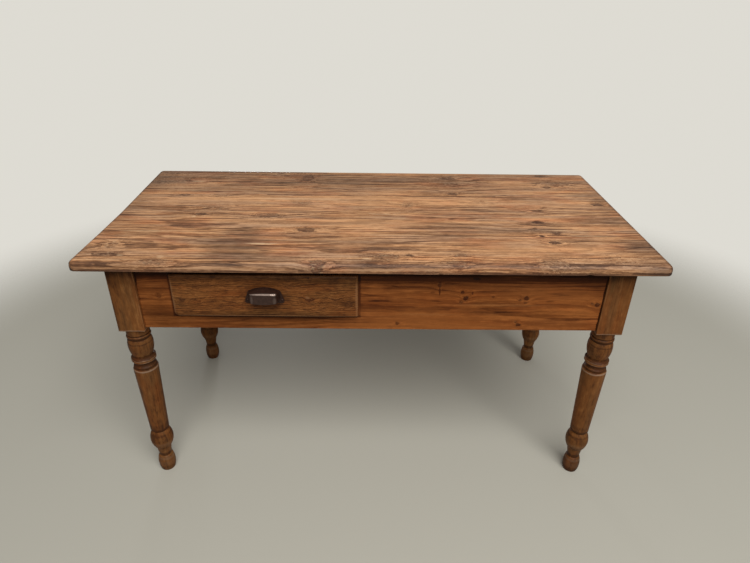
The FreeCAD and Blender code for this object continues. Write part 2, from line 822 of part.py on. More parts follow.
def table_nodes():
    """Every piece of the table by its name."""
    dowels = top_dowels()
    buttons, button_mortises, button_screws = top_buttons()
    boards = top_boards(dowels, button_screws)

    runner = left_runner()
    kicker = left_kicker()
    rails = [runner, mirrored_in_drawer(runner), kicker, mirrored_in_drawer(kicker)]
    screws_in_guides = guide_screws()
    screws_in_braces, brace_recesses = brace_screws()
    in_aprons = rails + button_mortises + screws_in_braces.room

    front_blank = apron_blank(leg_inner_x, -long_outer_y, -long_inner_y)
    back_blank = apron_blank(leg_inner_x, long_inner_y, long_outer_y)
    end_blanks = {-1: end_apron(-1), 1: end_apron(1)}

    nails = drawer_nails()
    screw_in_stop = stop_screw()
    side = left_side_blank()
    sides = {"left": side, "right": mirrored_in_drawer(side)}
    back = drawer_back_blank()
    screws_in_pull, pull_shanks = pull_screws()
    sockets = side_tails() + [mirrored_in_drawer(tail) for tail in side_tails()]

    nodes = {
        "top_board_front": boards[0],
        "top_board_front_middle": boards[1],
        "top_board_back_middle": boards[2],
        "top_board_back": boards[3],
        "top_dowels": Part.makeCompound(dowels),
        "top_buttons": Part.makeCompound(buttons),
        "top_button_screws": Part.makeCompound(button_screws.solids),
        "apron_front": front_blank.cut([drawer_opening()] + in_aprons),
        "apron_back": back_blank.cut(in_aprons),
        "apron_left": end_blanks[-1].cut(in_aprons),
        "apron_right": end_blanks[1].cut(in_aprons),
        "drawer_runner_left": rails[0].cut(screws_in_guides.room),
        "drawer_runner_right": rails[1].cut(screws_in_guides.room),
        "drawer_kicker_left": rails[2],
        "drawer_kicker_right": rails[3],
        "drawer_guide_left": left_guide().cut(screws_in_guides.room),
        "drawer_guide_right": mirrored_in_drawer(left_guide()).cut(screws_in_guides.room),
        "drawer_guide_screws": Part.makeCompound(screws_in_guides.solids),
        "corner_brace_screws": Part.makeCompound(screws_in_braces.solids),
        "drawer_front": drawer_front_blank().cut(sockets + [panel(0)] + pull_shanks),
        "drawer_side_left": sides["left"].cut([back] + nails),
        "drawer_side_right": sides["right"].cut([back] + nails),
        "drawer_back": back.cut(nails + screw_in_stop.room),
        "drawer_bottom": panel(bottom_edge_gap).cut(nails),
        "drawer_nails": Part.makeCompound(nails),
        "drawer_stop_button": stop_button().cut(screw_in_stop.room),
        "drawer_stop_screw": screw_in_stop.solids[0],
        "cup_pull": cup_pull(pull_shanks),
        "cup_pull_screws": Part.makeCompound(screws_in_pull),
    }

    blank = leg_blank()
    for word_y, side_y, long_blank in (("front", -1, front_blank), ("back", 1, back_blank)):
        for word_x, side_x in (("left", -1), ("right", 1)):
            place = word_y + "_" + word_x
            nodes["leg_" + place] = leg(blank, side_x, side_y, [long_blank, end_blanks[side_x]])
            nodes["corner_brace_" + place] = corner_brace(side_x, side_y, screws_in_braces, brace_recesses)
    return nodes


os.makedirs("parts", exist_ok=True)
for name, shape in table_nodes().items():
    shape.exportStep("parts/" + name + ".step")
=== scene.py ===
import math

import bmesh
import bpy
from mathutils import Matrix, Vector, noise


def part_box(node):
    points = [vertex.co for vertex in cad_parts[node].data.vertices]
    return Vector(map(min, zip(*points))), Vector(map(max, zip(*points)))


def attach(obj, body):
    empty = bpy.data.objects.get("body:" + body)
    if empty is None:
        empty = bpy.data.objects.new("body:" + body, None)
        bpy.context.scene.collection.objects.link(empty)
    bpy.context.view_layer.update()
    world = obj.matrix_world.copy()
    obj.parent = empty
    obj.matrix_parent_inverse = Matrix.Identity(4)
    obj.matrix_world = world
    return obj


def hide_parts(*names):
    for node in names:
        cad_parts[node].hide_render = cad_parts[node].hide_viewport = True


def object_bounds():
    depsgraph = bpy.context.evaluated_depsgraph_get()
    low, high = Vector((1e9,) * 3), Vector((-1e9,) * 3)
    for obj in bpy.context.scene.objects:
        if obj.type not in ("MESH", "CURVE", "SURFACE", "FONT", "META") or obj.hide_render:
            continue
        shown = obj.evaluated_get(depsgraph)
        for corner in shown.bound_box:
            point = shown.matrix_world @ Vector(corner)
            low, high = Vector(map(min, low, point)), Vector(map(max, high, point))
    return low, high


bl_info = {
    "name": "Farmhouse work table",
    "version": (1, 0, 0),
    "blender": (4, 5, 0),
    "location": "3D View > Sidebar > Table",
    "description": "Finishes of an old pine work table with one drawer",
    "category": "Object",
}

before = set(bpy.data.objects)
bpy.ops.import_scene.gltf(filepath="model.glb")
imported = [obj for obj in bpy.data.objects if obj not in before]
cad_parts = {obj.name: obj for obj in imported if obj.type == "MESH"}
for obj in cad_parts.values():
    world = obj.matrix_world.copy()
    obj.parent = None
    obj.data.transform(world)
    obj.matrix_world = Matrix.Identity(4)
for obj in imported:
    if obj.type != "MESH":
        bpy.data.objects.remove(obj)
cad_low, cad_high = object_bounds()


def place(x, y, z=0.0):
    """A place given in millimetres, as metres."""
    return Vector((x, y, z)) / 1000


# Knots of the top boards, from the middle of the table: x, y, half length, half width in millimetres, how far
# the grain swings round them in millimetres and how dark their cores are
KNOTS = {
    "top_board_back": (
        (-685, 262, 48, 30, 26, 0.35), (-222, 290, 16, 30, 22, 0.6), (-325, 322, 22, 14, 20, 0.15),
        (262, 300, 24, 12, 14, 0.55), (265, 236, 26, 14, 14, 0.4), (262, 143, 13, 12, 14, 0.65),
        (595, 334, 14, 8, 12, 0.7), (590, 216, 12, 9, 14, 0.75), (640, 245, 32, 14, 18, 0.45),
    ),
    "top_board_back_middle": (
        (-600, 112, 15, 9, 12, 0.6), (-485, 111, 20, 12, 14, 0.2), (-215, 60, 30, 14, 14, 0.25),
        (110, 40, 16, 18, 16, 0.25), (345, 72, 22, 13, 16, 0.15), (705, 58, 15, 8, 16, 0.85),
        (502, 2, 13, 8, 16, 0.55), (-480, 0, 26, 12, 12, 0.3),
    ),
    "top_board_front_middle": (
        (-508, -46, 13, 8, 13, 0.8), (-305, -48, 26, 18, 20, 0.5), (-185, -158, 22, 12, 16, 0.7),
        (482, -88, 15, 7, 18, 1.0), (458, -137, 10, 8, 10, 0.55), (515, -165, 13, 6, 12, 0.65),
        (470, -184, 6, 5, 10, 1.0),
    ),
    "top_board_front": (
        (-674, -318, 20, 9, 11, 0.42), (-683, -262, 14, 16, 10, 0.3), (-545, -352, 30, 8, 8, 0.48),
        (-137, -356, 16, 10, 16, 0.6), (40, -322, 26, 12, 20, 0.5), (96, -311, 8, 5, 8, 0.8),
        (228, -310, 13, 9, 12, 0.45), (212, -350, 24, 9, 12, 0.5), (455, -345, 26, 15, 16, 0.38),
        (493, -227, 13, 8, 18, 0.95), (638, -330, 36, 13, 12, 0.14),
    ),
}

# Dark and pale marks of the top boards: x, y, half length, half width in millimetres, and how dark (above
# zero) or how pale (below zero)
MARKS = {
    "top_board_back": (
        (-565, 282, 55, 5, 0.75), (-590, 242, 24, 7, -0.6), (-370, 232, 110, 6, 0.45),
        (-500, 176, 90, 5, 0.5), (-575, 156, 150, 4, -0.45), (-120, 300, 130, 18, 0.35),
        (-60, 214, 130, 5, 0.45), (300, 272, 50, 5, 0.6), (540, 190, 45, 5, 0.45),
    ),
    "top_board_back_middle": (
        (36, -34, 64, 2.6, -1.7), (-230, 85, 170, 10, -0.55), (-40, 62, 60, 4, 0.35),
        (385, 103, 18, 4, 0.45), (430, 45, 10, 7, 0.4), (530, -6, 26, 8, 0.45), (575, -27, 26, 3, -0.55),
        (727, 82, 10, 9, 0.45), (120, 28, 30, 8, 0.3),
    ),
    "top_board_front_middle": (
        (-523, -66, 8, 4, -1.0), (-484, -50, 15, 6, 0.45), (-430, -62, 90, 4, 0.4),
        (-275, -66, 14, 9, 0.45), (-640, -118, 60, 5, 0.4), (-490, -122, 70, 4, 0.2),
        (-600, -172, 100, 3, -0.6), (230, -128, 90, 5, 0.4), (530, -145, 22, 3, -0.7),
        (600, -183, 80, 4, -0.45), (0, -190, 130, 3, 0.45), (360, -182, 110, 3, 0.55),
        (400, -128, 45, 10, 0.3),
    ),
    "top_board_front": (
        (-292, -249, 46, 5, -1.0), (-292, -258, 50, 3, 0.55), (-520, -248, 180, 3, 0.5),
        (-430, -208, 45, 5, 0.6), (-190, -210, 60, 8, 0.65), (494, -270, 3, 6, 0.85),
        (20, -268, 70, 6, 0.5), (-15, -332, 11, 5, -0.8), (35, -313, 8, 4, -0.6), (-535, -331, 9, 10, -0.5),
        (-690, -348, 110, 3, -0.5), (-638, -323, 9, 5, -0.6), (240, -268, 16, 5, 0.4),
        (630, -311, 9, 4, 0.6), (560, -357, 60, 4, 0.4),
    ),
}

# Dirt in the seams of the top boards: middle x, y, half length and width in millimetres, and how dark
SEAM_LINES = (
    (30, 122.6, 365, 5.5, 1.3), (-560, 122.6, 190, 4.0, 0.4), (180, -35.0, 330, 4.5, 0.9),
    (-500, -35.0, 240, 3.5, 0.35), (-250, -200.0, 300, 4.0, 0.6), (420, -200.0, 330, 3.5, 0.45),
)

# Broad stains (above zero) and clear patches (below zero) of the top boards, laid out as the marks
STAINS = {
    "top_board_back": (
        (-180, 275, 600, 85, 0.72), (-190, 270, 150, 45, 0.2), (-540, 235, 70, 25, -0.35),
        (470, 235, 110, 45, -0.45), (-757, 240, 70, 160, 0.6), (620, 300, 120, 60, 0.3),
        (-530, 350, 230, 24, 0.55), (0, 342, 170, 22, -0.6), (530, 350, 200, 24, 0.6),
        (-340, 288, 190, 24, -0.35), (-600, 166, 200, 34, 0.4), (690, 141, 50, 16, 0.45),
    ),
    "top_board_back_middle": (
        (-90, 75, 560, 36, -0.62), (-560, -10, 110, 32, 0.3), (735, 40, 45, 110, 0.5),
        (-757, 40, 60, 130, 0.45), (240, 5, 140, 30, 0.1), (-330, 2, 200, 26, -0.4),
        (620, 62, 90, 24, -0.35), (262, -17, 70, 16, -0.5), (640, -16, 80, 22, 0.35),
    ),
    "top_board_front_middle": (
        (-160, -101, 380, 24, -0.55), (30, -105, 130, 45, -0.25), (485, -112, 60, 40, 0.5),
        (-540, -65, 140, 40, 0.12), (-355, -175, 60, 30, 0.8), (735, -140, 50, 110, 0.45),
        (-757, -110, 60, 130, 0.4), (360, -150, 190, 26, 0.35), (640, -60, 90, 26, 0.35),
        (-650, -175, 110, 28, 0.35), (160, -182, 160, 16, 0.35), (-157, -165, 50, 22, -0.45),
    ),
    "top_board_front": (
        (-365, -255, 85, 110, 0.75), (-10, -310, 50, 75, 0.4), (430, -270, 190, 60, -0.5),
        (725, -280, 55, 130, 0.55), (-650, -355, 120, 18, 0.2), (-610, -290, 150, 60, 0.13),
        (-70, -225, 120, 25, 0.15), (-52, -262, 70, 20, -0.45), (590, -262, 60, 24, -0.45),
        (-577, -300, 60, 20, -0.4), (157, -300, 60, 20, -0.4), (-262, -338, 70, 18, 0.35),
        (-160, -222, 60, 16, 0.3),
    ),
}

# Knots, marks, stains and painted shadows of the front apron and the drawer front: x, z and the rest as on
# the top boards
APRON_KNOTS = (
    (176, 692, 4, 7, 10, 0.75), (239, 670, 4, 4, 8, 0.85), (249, 650, 6, 5, 12, 0.95),
    (237, 641, 4, 5, 6, 0.6), (320, 656, 3, 3, 6, 0.55), (410, 653, 5, 5, 12, 0.85),
    (409, 639, 4, 3, 6, 0.65), (393, 647, 4, 3, 6, 0.5), (600, 633, 5, 5, 12, 0.9),
    (587, 637, 4, 3, 6, 0.55), (398, 568, 6, 4, 14, 0.8), (389, 578, 3, 3, 5, 0.5),
    (70, 572, 5, 4, 10, 0.7), (-560, 650, 5, 5, 10, 0.3),
)
# Among the apron's marks, the long line at x -280 just below the drawer is painted shadow of its lip, the
# three upright lines at x 613 and -613 are painted shadow beside the legs' heads, and the wide band at z 705
# is painted shade under the top
APRON_MARKS = (
    (20, 641, 36, 4, 0.6), (12, 642, 13, 3, 0.8), (58, 686, 10, 3, 0.5), (178, 672, 2, 14, 1.3),
    (160, 668, 7, 3, 0.6), (264, 667, 2, 6, 0.8), (272, 710, 11, 4, 1.1), (473, 643, 14, 3, 0.9),
    (-300, 607, 110, 2, 0.5), (300, 608, 130, 3.5, 0.45), (445, 598, 110, 4, 0.4), (560, 589, 90, 4, 0.4),
    (150, 705, 330, 10, 0.55), (480, 690, 130, 4, 0.3), (330, 630, 160, 4, -0.35), (560, 660, 60, 4, 0.35),
    (150, 600, 90, 3, -0.3), (-280, 591, 280, 4.5, 0.85), (613.5, 650, 2.6, 260, 1.85),
    (-612.5, 735, 4.0, 60, 1.8), (-613, 650, 2.5, 260, 0.6),
)
# Among the apron's stains, the narrow row at x -280, z 588 is painted shadow below the drawer's lip; the
# wider row at z 574 darkens the apron below the drawer
APRON_STAINS_AND_SHADOWS = (
    (560, 700, 90, 45, 0.2), (-580, 640, 55, 110, 0.2), (150, 561, 290, 13, -0.9),
    (-280, 574, 300, 24, 0.4), (-280, 588, 300, 9, 0.45), (90, 590, 190, 30, -0.6), (12, 675, 22, 14, -0.8),
    (490, 667, 100, 28, -0.65), (300, 622, 110, 28, 0.22), (480, 600, 190, 15, 0.3),
    (585, 652, 40, 10, -0.4), (-566, 592, 60, 44, 0.35), (-566, 695, 50, 14, -0.4),
)
DRAWER_KNOTS = (
    (-497, 646, 7, 6, 12, 0.45), (-462, 642, 16, 9, 14, 0.1), (-430, 690, 14, 8, 12, 0.1),
    (-350, 640, 18, 8, 12, 0.1), (-212, 690, 12, 7, 12, 0.2), (-165, 644, 12, 9, 16, 0.25),
    (-130, 624, 9, 6, 12, 0.25), (-95, 655, 12, 8, 12, 0.1), (-62, 636, 10, 8, 12, 0.35),
)
# Among the drawer front's marks, the pale lines along the bottom and both sides are partly pale wear and
# partly painted highlights on the lip's rounded edges
DRAWER_MARKS = (
    (-164, 714, 3, 4, 1.1), (-168, 656, 6, 4, -0.9), (-280, 598, 240, 3, -0.6), (-520, 655, 4, 60, -0.45),
    (-41, 655, 4, 60, -0.4), (-420, 690, 60, 3, 0.5), (-100, 680, 50, 3, 0.5),
)
# Among the drawer front's stains, the row at z 626 is painted shadow under the pull, the row at z 664 painted
# shadow round the pull's plate, and the row at z 602 darkens the front along its bottom
DRAWER_STAINS_AND_SHADOWS = (
    (-90, 622, 45, 28, 0.25), (-62, 640, 24, 18, 0.35), (-290, 602, 420, 12, 0.5), (-276, 626, 48, 13, 0.6),
    (-278, 664, 53, 27, 0.8), (-470, 668, 60, 18, -0.45), (-190, 700, 110, 10, 0.35),
)

# Bright places on the front of the pull: x, z, half x, half z and how bright. The line along the top lip and
# the spot on it are painted highlights; the broad patch and the two narrow ones are brighter iron
RUBBED_AND_HIGHLIT_IRON = (
    (-280, 661, 42, 23, 0.035), (-275, 679.5, 38, 2.4, 0.5), (-252, 679, 9, 3.4, 0.65),
    (-309, 664, 4, 14, 0.1), (-250, 660, 5, 12, 0.1),
)

# Bands round the turned legs: height and half height in millimetres, and how dark or how pale. The dark bands
# are partly dark wax in the grooves and partly painted shade in the coves under the beads and the ring; the
# pale bands are painted highlights on the beads, rims and swellings
LEG_BANDS = (
    (543, 2.6, -0.45), (531, 10.0, 0.22), (519.5, 2.5, 0.4), (511.5, 7.0, 1.0), (515, 1.3, -0.75),
    (505, 2.0, 0.4), (497, 7.0, 0.55), (498, 5.0, -0.42), (476, 17.0, 0.22), (447, 4.5, 0.4),
    (441, 3.5, 0.6), (437.5, 1.4, -0.75), (430.5, 1.2, -0.45), (420, 9.0, 0.6), (410, 2.6, 0.65),
    (405, 2.0, 0.4), (400.5, 2.1, -0.62), (200, 26.0, 0.08), (183, 12.0, 0.25), (169, 6.0, 0.8),
    (157, 9.0, 0.55), (158, 8.0, -0.5), (138, 16.0, 0.32), (128, 22.0, -0.12), (66, 7.0, 0.55),
    (49, 5.0, -0.18), (30, 12.0, -0.08), (10, 12.0, 0.25),
)

# Painted shade under the top's overhang, on aprons and drawer front: x, z, half x, half z and how dark
UNDER_TOP = (
    (0, 738, 1500, 26, 0.78), (0, 738, 1500, 58, 0.35),
)

# Dents of the top's edges: place, reach and depth in millimetres
DENTS = (
    (-690, -365, 766, 9, 1.2), (-604, -365, 769, 6, 0.9), (-512, -364, 768, 12, 1.1),
    (-388, -365, 745, 8, 0.9), (-301, -365, 769, 7, 1.0), (-146, -365, 766, 10, 1.0),
    (-20, -364, 769, 12, 1.4), (66, -365, 768, 6, 0.8), (171, -365, 745, 9, 1.0), (262, -365, 769, 8, 0.9),
    (388, -364, 768, 11, 1.2), (470, -365, 768, 5, 0.8), (548, -365, 743, 13, 3.2),
    (629, -365, 769, 9, 1.1), (705, -363, 768, 10, 1.3), (-749, -310, 768, 9, 1.2),
    (-749, -120, 768, 8, 1.0), (-749, 40, 769, 10, 1.2), (-749, 230, 768, 9, 1.1), (749, -290, 768, 9, 1.2),
    (749, -60, 769, 10, 1.1), (749, 170, 768, 8, 1.0), (749, 320, 768, 9, 1.3), (-450, 364, 769, 9, 1.0),
    (120, 364, 768, 10, 1.1), (560, 364, 769, 8, 1.0),
)

# Height and width of the darkest line of painted shade under the overhang, in metres, and how dark it
# is on the apron and on the drawer front
SHADED_Z, SHADED_WIDTH, APRON_SHADE, FRONT_SHADE = 0.714, 0.024, 0.7, 0.35

WORN_SPOTS = [(place(x, y, z), reach / 1000, depth / 1000) for x, y, z, reach, depth in DENTS]
# A dented point moves towards these shares of its own X and Y
DENT_AIM = (0.98, 0.9)

# Wear of the top boards, in metres: the length of the slices that they are worn in, how far in from the top's
# edges these waver and by how much at least, and each kind of wave: waves per metre, level in the noise and
# height
SLICE, FIRST_SLICE = 0.012, 0.002
WAVER_REACH = 0.03
WAVER_LEAST = 0.0007
WAVES = ((7, 3.0, 0.0006), (45, 9.0, 0.0004))
# How far the left end is worn in, how far from the end that reaches, and where and how wide along Y
BOW, BOW_REACH, BOW_MIDDLE, BOW_WIDTH = 0.007, 0.12, -0.05, 0.80
# Depth of the open seams, how much it varies, how wide they are on each board, and the waves of their depth:
# waves per metre along a seam and from seam to seam, and level in the noise
SEAM_DEPTH, SEAM_CHANGE, SEAM_WIDTH = 0.0006, 0.0005, 0.0025
SEAM_WAVES, SEAM_STEP, SEAM_LEVEL = 12, 50, 1.0
# Places of the lengthwise cuts, in from a board's sides, and of the cuts round a dent, as shares of its reach
SIDE_CUTS = (0.0009, 0.0022, 0.005, 0.012)
DENT_CUTS = (-0.9, -0.6, -0.3, 0, 0.3, 0.6, 0.9)
# Edges that turn by more than this stay sharp
SHARP = math.radians(35)
# Nearer than this, two points are one, a point lies on a cut, and a board's side lies on the top's side
MERGED, ON_CUT, ON_SIDE = 0.000001, 0.00001, 0.001

# Noise of the finishes: cells per metre along X, Y and Z, where wood grain runs along X, detail and roughness
NOISE = {
    "drift": ((1.6, 7, 7), 2, 0.5), "shiver": ((9, 60, 60), 2, 0.5),
    "streaks": ((1.1, 62, 62), 3, 0.6), "lines": ((4.2, 250, 250), 3, 0.68),
    "veins": ((1.8, 42, 42), 1.5, 0.5), "vein strength": ((5, 30, 30), 1, 0.5),
    "fibres": ((40, 1000, 1000), 2, 0.6), "tone": ((2.2, 12, 12), 3, 0.5),
    "blotch": ((30, 70, 70), 4, 0.62), "hue": ((3.5, 34, 34), 3, 0.6),
    "flush": ((6, 18, 18), 4, 0.6), "knot": ((90, 170, 170), 3, 0.6),
    "knot core": ((60, 220, 220), 3, 0.6), "pores": ((60, 420, 420), 2, 0.5),
    "flecks": ((90, 230, 230), 3, 0.5), "wear": ((45, 45, 45), 3, 0.5),
    "iron": ((160, 160, 160), 4, 0.6), "pits": ((900, 900, 900), 2, 0.5),
}
# Masks of the finishes: from which to which value they turn, and what they are at these two
MASKS = {
    "ring rise": (0.3, 0.9, 0, 1), "ring fall": (0.92, 1, 1, 0), "ring strength": (0, 1, 0.3, 1),
    "vein": (0, 0.022, 1, 0), "vein strength": (0.42, 0.6, 0.15, 1), "knot core": (0.6, 1.05, 1, 0),
    "knot halo": (0.8, 2.2, 0.4, 0), "knot rim": (0.04, 0.3, 1, 0), "torn": (0.7, 1.9, 1, 0),
    "rough core": (0.25, 0.55, 0.6, 1), "mark": (0.45, 1.25, 1, 0), "stain": (0.45, 1.45, 1, 0),
    "patchy stain": (0.3, 0.62, 0.7, 1.1), "outline": (0.3, 1, 1, 0), "on box": (-0.003, -0.002, 0, 1),
    "ragged wear": (0.3, 0.7, 0.2, 1.6), "scuff": (0.3, 0.7, 0.8, 1.1),
}
# Values from which to which tired wood, reddish wood, pores and flecks come up
COMES_UP = {"Hue": (0.38, 0.66), "Flush": (0.46, 0.68), "pores": (0.53, 0.64), "flecks": (0.56, 0.64)}
# How much the small wander of the rings counts against the slow one
SHIVER = 0.12
# How uneven knots are, how fast their swing fades and where their rim lies, counted in their reach
KNOT_UNEVEN, KNOT_FADE, KNOT_RIM = 2.0, -0.6, 0.95
# How far outlines are ragged against marks, how clear a clear patch gets, and how much duller dark lines are
FINE, CLEAR, DULLER = (0.15, 0.15, 0.15), 0.45, 0.16
# How far each part of the wood stands out (above zero) or lies in (below zero) on its surface
RELIEF = {"rings": -0.4, "lines": -0.6, "fibres": 0.25, "pores": -0.4, "knots": -0.5}
# Parts of the grain that lighten or darken the wood, and the value at which they do neither
GRAIN_MIDDLES = {"Rings": 0.25, "Streaks": 0.5, "Lines": 0.5, "Veins": 0.2, "Fibres": 0.5, "Tone": 0.5,
                 "Blotch": 0.5}
# Turns that bring a grain along each axis onto X
TURNS = {"X": (0, 0, 0), "Y": (0, 0, -math.pi / 2), "Z": (0, math.pi / 2, 0)}

# Pith of each kind of board from its middle, in metres, below the boards of the top by one step more for each
TOP_PITH, TOP_PITH_STEP = Vector((0, 0.02, -0.05)), 0.02
LONG_APRON_PITH, SHORT_APRON_PITH = Vector((0, 0.03, -0.03)), Vector((0.06, 0, 0))
LEG_PITH = Vector((0.045, 0.035, 0))
FRONT_PITH = Vector((0, -0.03, -0.06))
BOX_PITH, RAIL_PITH = Vector((0.04, 0.03, 0)), Vector((0.05, 0.05, 0))
# Seeds of the grain: of the first board of a kind, and how far they move from board to board
SEEDS = {"top": ((0, 0, 0), (1.7, 0.9, 2.3)), "apron": ((0, 3.1, 0), (0.7, 0, 1.3)),
         "leg": ((0, 0, 0.2), (0.4, 1.1, 0))}
FRONT_SEED, BOX_SEED, RAIL_SEED = (0.3, 0.5, 0.9), 0.1, 0.4
# Height from which up the legs are square
HEAD_LOW = 0.541
# Painted shade at the top of the legs' heads, and darkening at the bottom of the right feet: reach down and
# up, and how dark
HEAD_SHADES = ((0.030, 0.75), (0.075, 0.50))
FOOT_DARK_Z, FOOT_DARK = 0.015, (0.055, 0.45)

# How deep knots, marks and stains go into a board from its face, in metres
KNOT_DEPTH, MARK_DEPTH, STAIN_DEPTH = {"Z": 0.06, "Y": 0.05}, 0.01, 0.05
# A reach or half size that no part of the table gets to
FAR = 10
# Darkening of the top's edges and front face: how far it reaches along X, Y and Z, and how dark it is. Along
# the lower front edge and on the front face it is painted shade; along the back edge and the left end the
# wood is only darker
FRONT_EDGE, BACK_EDGE = ((3.0, 0.03, 0.0095), 1.15), ((3.0, 0.006, 0.03), 1.0)
LEFT_EDGE = ((0.019, 0.4, 0.06), 0.7)
FRONT_FACE_Z, FRONT_FACE = 0.757, ((5.0, 0.014, 0.020), 0.52)
# Lines round the ends of the top, and on apron and drawer front along the front's lip: width and darkness. On
# the apron the line is a painted shadow round the lip; on the drawer front it is a pale line, partly pale
# wear and partly a painted highlight on the lip's rounded edges
END_LINE, APRON_LIP_LINE, FRONT_LIP_LINE = (0.021, 1.0), (0.0065, 1.0), (0.0035, -0.35)
# How far outside the lip the apron's line lies, and how far inside it the drawer front's line
ROUND_LIP, IN_LIP = 0.002, 0.003

# The floor's radius, and from where to where it fades into the backdrop
FLOOR_RADIUS, FADE = 4.0, (1.6, 2.5)
# Soft lights: name, place, where they point, size and power
LIGHTS = (
    ("key", (1.0, -3.6, 4.9), (0, 0, 0.4), 4.2, 430),
    ("fill", (-1.2, 4.2, 0.40), (0, 0.3, 0.38), 0.6, 42),
)
AMBIENT_COLOUR, AMBIENT_STRENGTH = (1.0, 0.985, 0.96, 1.0), 0.26


class Weave:
    """Puts shader nodes into one tree and joins their sockets."""

    def __init__(self, tree):
        self.tree = tree

    def node(self, kind, inputs=None, **settings):
        made = self.tree.nodes.new("ShaderNode" + kind)
        for name, value in settings.items():
            setattr(made, name, value)
        for name, value in (inputs or {}).items():
            self.feed(made.inputs[name], value)
        return made

    def feed(self, socket, value):
        if isinstance(value, bpy.types.NodeSocket):
            self.tree.links.new(value, socket)
        else:
            socket.default_value = value

    def group(self, tree, **inputs):
        made = self.tree.nodes.new("ShaderNodeGroup")
        made.node_tree = tree
        for name, value in inputs.items():
            self.feed(made.inputs[name.replace("_", " ").capitalize()], value)
        return made

    def math(self, operation, *values, clamp=False):
        made = self.node("Math", dict(enumerate(values)), operation=operation, use_clamp=clamp)
        return made.outputs[0]

    def vector(self, operation, *values):
        made = self.node("VectorMath", dict(enumerate(values)), operation=operation)
        return made.outputs["Value"] if operation == "LENGTH" else made.outputs["Vector"]

    def noise(self, point, kind):
        """One kind of noise from the list."""
        stretch, detail, roughness = NOISE[kind]
        inputs = {"Vector": self.vector("MULTIPLY", point, stretch), "Scale": 1.0, "Detail": detail,
                  "Roughness": roughness}
        return self.node("TexNoise", inputs).outputs["Fac"]

    def reaches(self, given):
        """How far a group's point is from its centre, counted in reaches."""
        away = self.vector("SUBTRACT", given["Point"], given["Centre"])
        return self.vector("LENGTH", self.vector("DIVIDE", away, given["Reach"]))

    def between(self, value, low, high, out_low=0.0, out_high=1.0):
        """The value's place from low to high, smoothed, as out_low to out_high."""
        made = self.node("MapRange", {"Value": value, "From Min": low, "From Max": high,
                                      "To Min": out_low, "To Max": out_high}, interpolation_type="SMOOTHSTEP")
        return made.outputs["Result"]

    def mask(self, value, kind):
        """One kind of mask from the list."""
        return self.between(value, *MASKS[kind])

    def blend(self, factor, first, second, mode="MIX"):
        made = self.node("Mix", data_type="RGBA", blend_type=mode, clamp_result=True)
        self.feed(made.inputs["Factor"], factor)
        self.feed(made.inputs[6], first)
        self.feed(made.inputs[7], second)
        return made.outputs[2]

    def ramp(self, value, stops):
        """A colour from a list of (place, colour) stops."""
        made = self.node("ValToRGB", {"Fac": value})
        made.color_ramp.interpolation = "EASE"
        marks = made.color_ramp.elements
        while len(marks) < len(stops):
            marks.new(1.0)
        for mark, (at, colour) in zip(marks, stops):
            mark.position = at
            mark.color = colour
        return made.outputs["Color"]

    def finish(self, shader):
        self.feed(self.node("OutputMaterial").inputs["Surface"], shader.outputs[0])


def new_group(name, vectors, values, outputs):
    """An empty node group with named sockets: its Weave, its input sockets by name and its output node's."""
    tree = bpy.data.node_groups.new(name, "ShaderNodeTree")
    kinds = (("INPUT", "Vector", vectors), ("INPUT", "Float", values), ("OUTPUT", "Float", outputs))
    for way, kind, sockets in kinds:
        for socket in sockets:
            tree.interface.new_socket(name=socket, in_out=way, socket_type="NodeSocket" + kind)
    given = tree.nodes.new("NodeGroupInput").outputs
    return Weave(tree), given, tree.nodes.new("NodeGroupOutput").inputs


def new_material(name):
    """An empty material, its Weave and the coordinates of the piece that wears it."""
    material = bpy.data.materials.new(name)
    material.use_nodes = True
    weave = Weave(material.node_tree)
    weave.tree.nodes.clear()
    return material, weave, weave.node("TexCoord").outputs["Object"]


def grain_group(name):
    """Growth rings, streaks and fibres of a board whose grain runs along X."""
    weave, given, out = new_group(
        name, ("Point", "Pith", "Seed"), ("Lift", "Spacing", "Waver", "Sway"),
        ("Rings", "Streaks", "Lines", "Veins", "Fibres", "Tone", "Blotch", "Hue", "Flush"))
    point = weave.vector("ADD", given["Point"], given["Seed"])
    slow = weave.math("SUBTRACT", weave.noise(point, "drift"), 0.5)
    swing = weave.math("MULTIPLY_ADD", slow, given["Sway"], given["Lift"])
    bent = weave.vector("ADD", point, weave.node("CombineXYZ", {"Y": swing, "Z": swing}).outputs[0])
    quick = weave.math("SUBTRACT", weave.noise(point, "shiver"), 0.5)
    sway = weave.math("MULTIPLY_ADD", quick, SHIVER, slow)
    from_pith = weave.vector("MULTIPLY", weave.vector("SUBTRACT", given["Point"], given["Pith"]), (0, 1, 1))
    radius = weave.math("MULTIPLY_ADD", sway, given["Waver"], weave.vector("LENGTH", from_pith))
    turns = weave.math("DIVIDE", weave.math("ADD", radius, given["Lift"]), given["Spacing"])
    part = weave.math("FRACT", turns)
    chance = weave.node("TexWhiteNoise", {"W": weave.math("FLOOR", turns)}, noise_dimensions="1D")
    line = weave.math("MULTIPLY", weave.mask(part, "ring rise"), weave.mask(part, "ring fall"))
    strength = weave.mask(chance.outputs["Value"], "ring strength")
    weave.feed(out["Rings"], weave.math("MULTIPLY", line, strength))
    for kind in ("Streaks", "Lines", "Fibres", "Blotch", "Flush"):
        weave.feed(out[kind], weave.noise(bent, kind.lower()))
    for kind in ("Tone", "Hue"):
        weave.feed(out[kind], weave.noise(point, kind.lower()))
    away = weave.math("ABSOLUTE", weave.math("SUBTRACT", weave.noise(bent, "veins"), 0.5))
    some = weave.mask(weave.noise(bent, "vein strength"), "vein strength")
    weave.feed(out["Veins"], weave.math("MULTIPLY", weave.mask(away, "vein"), some))
    return weave.tree


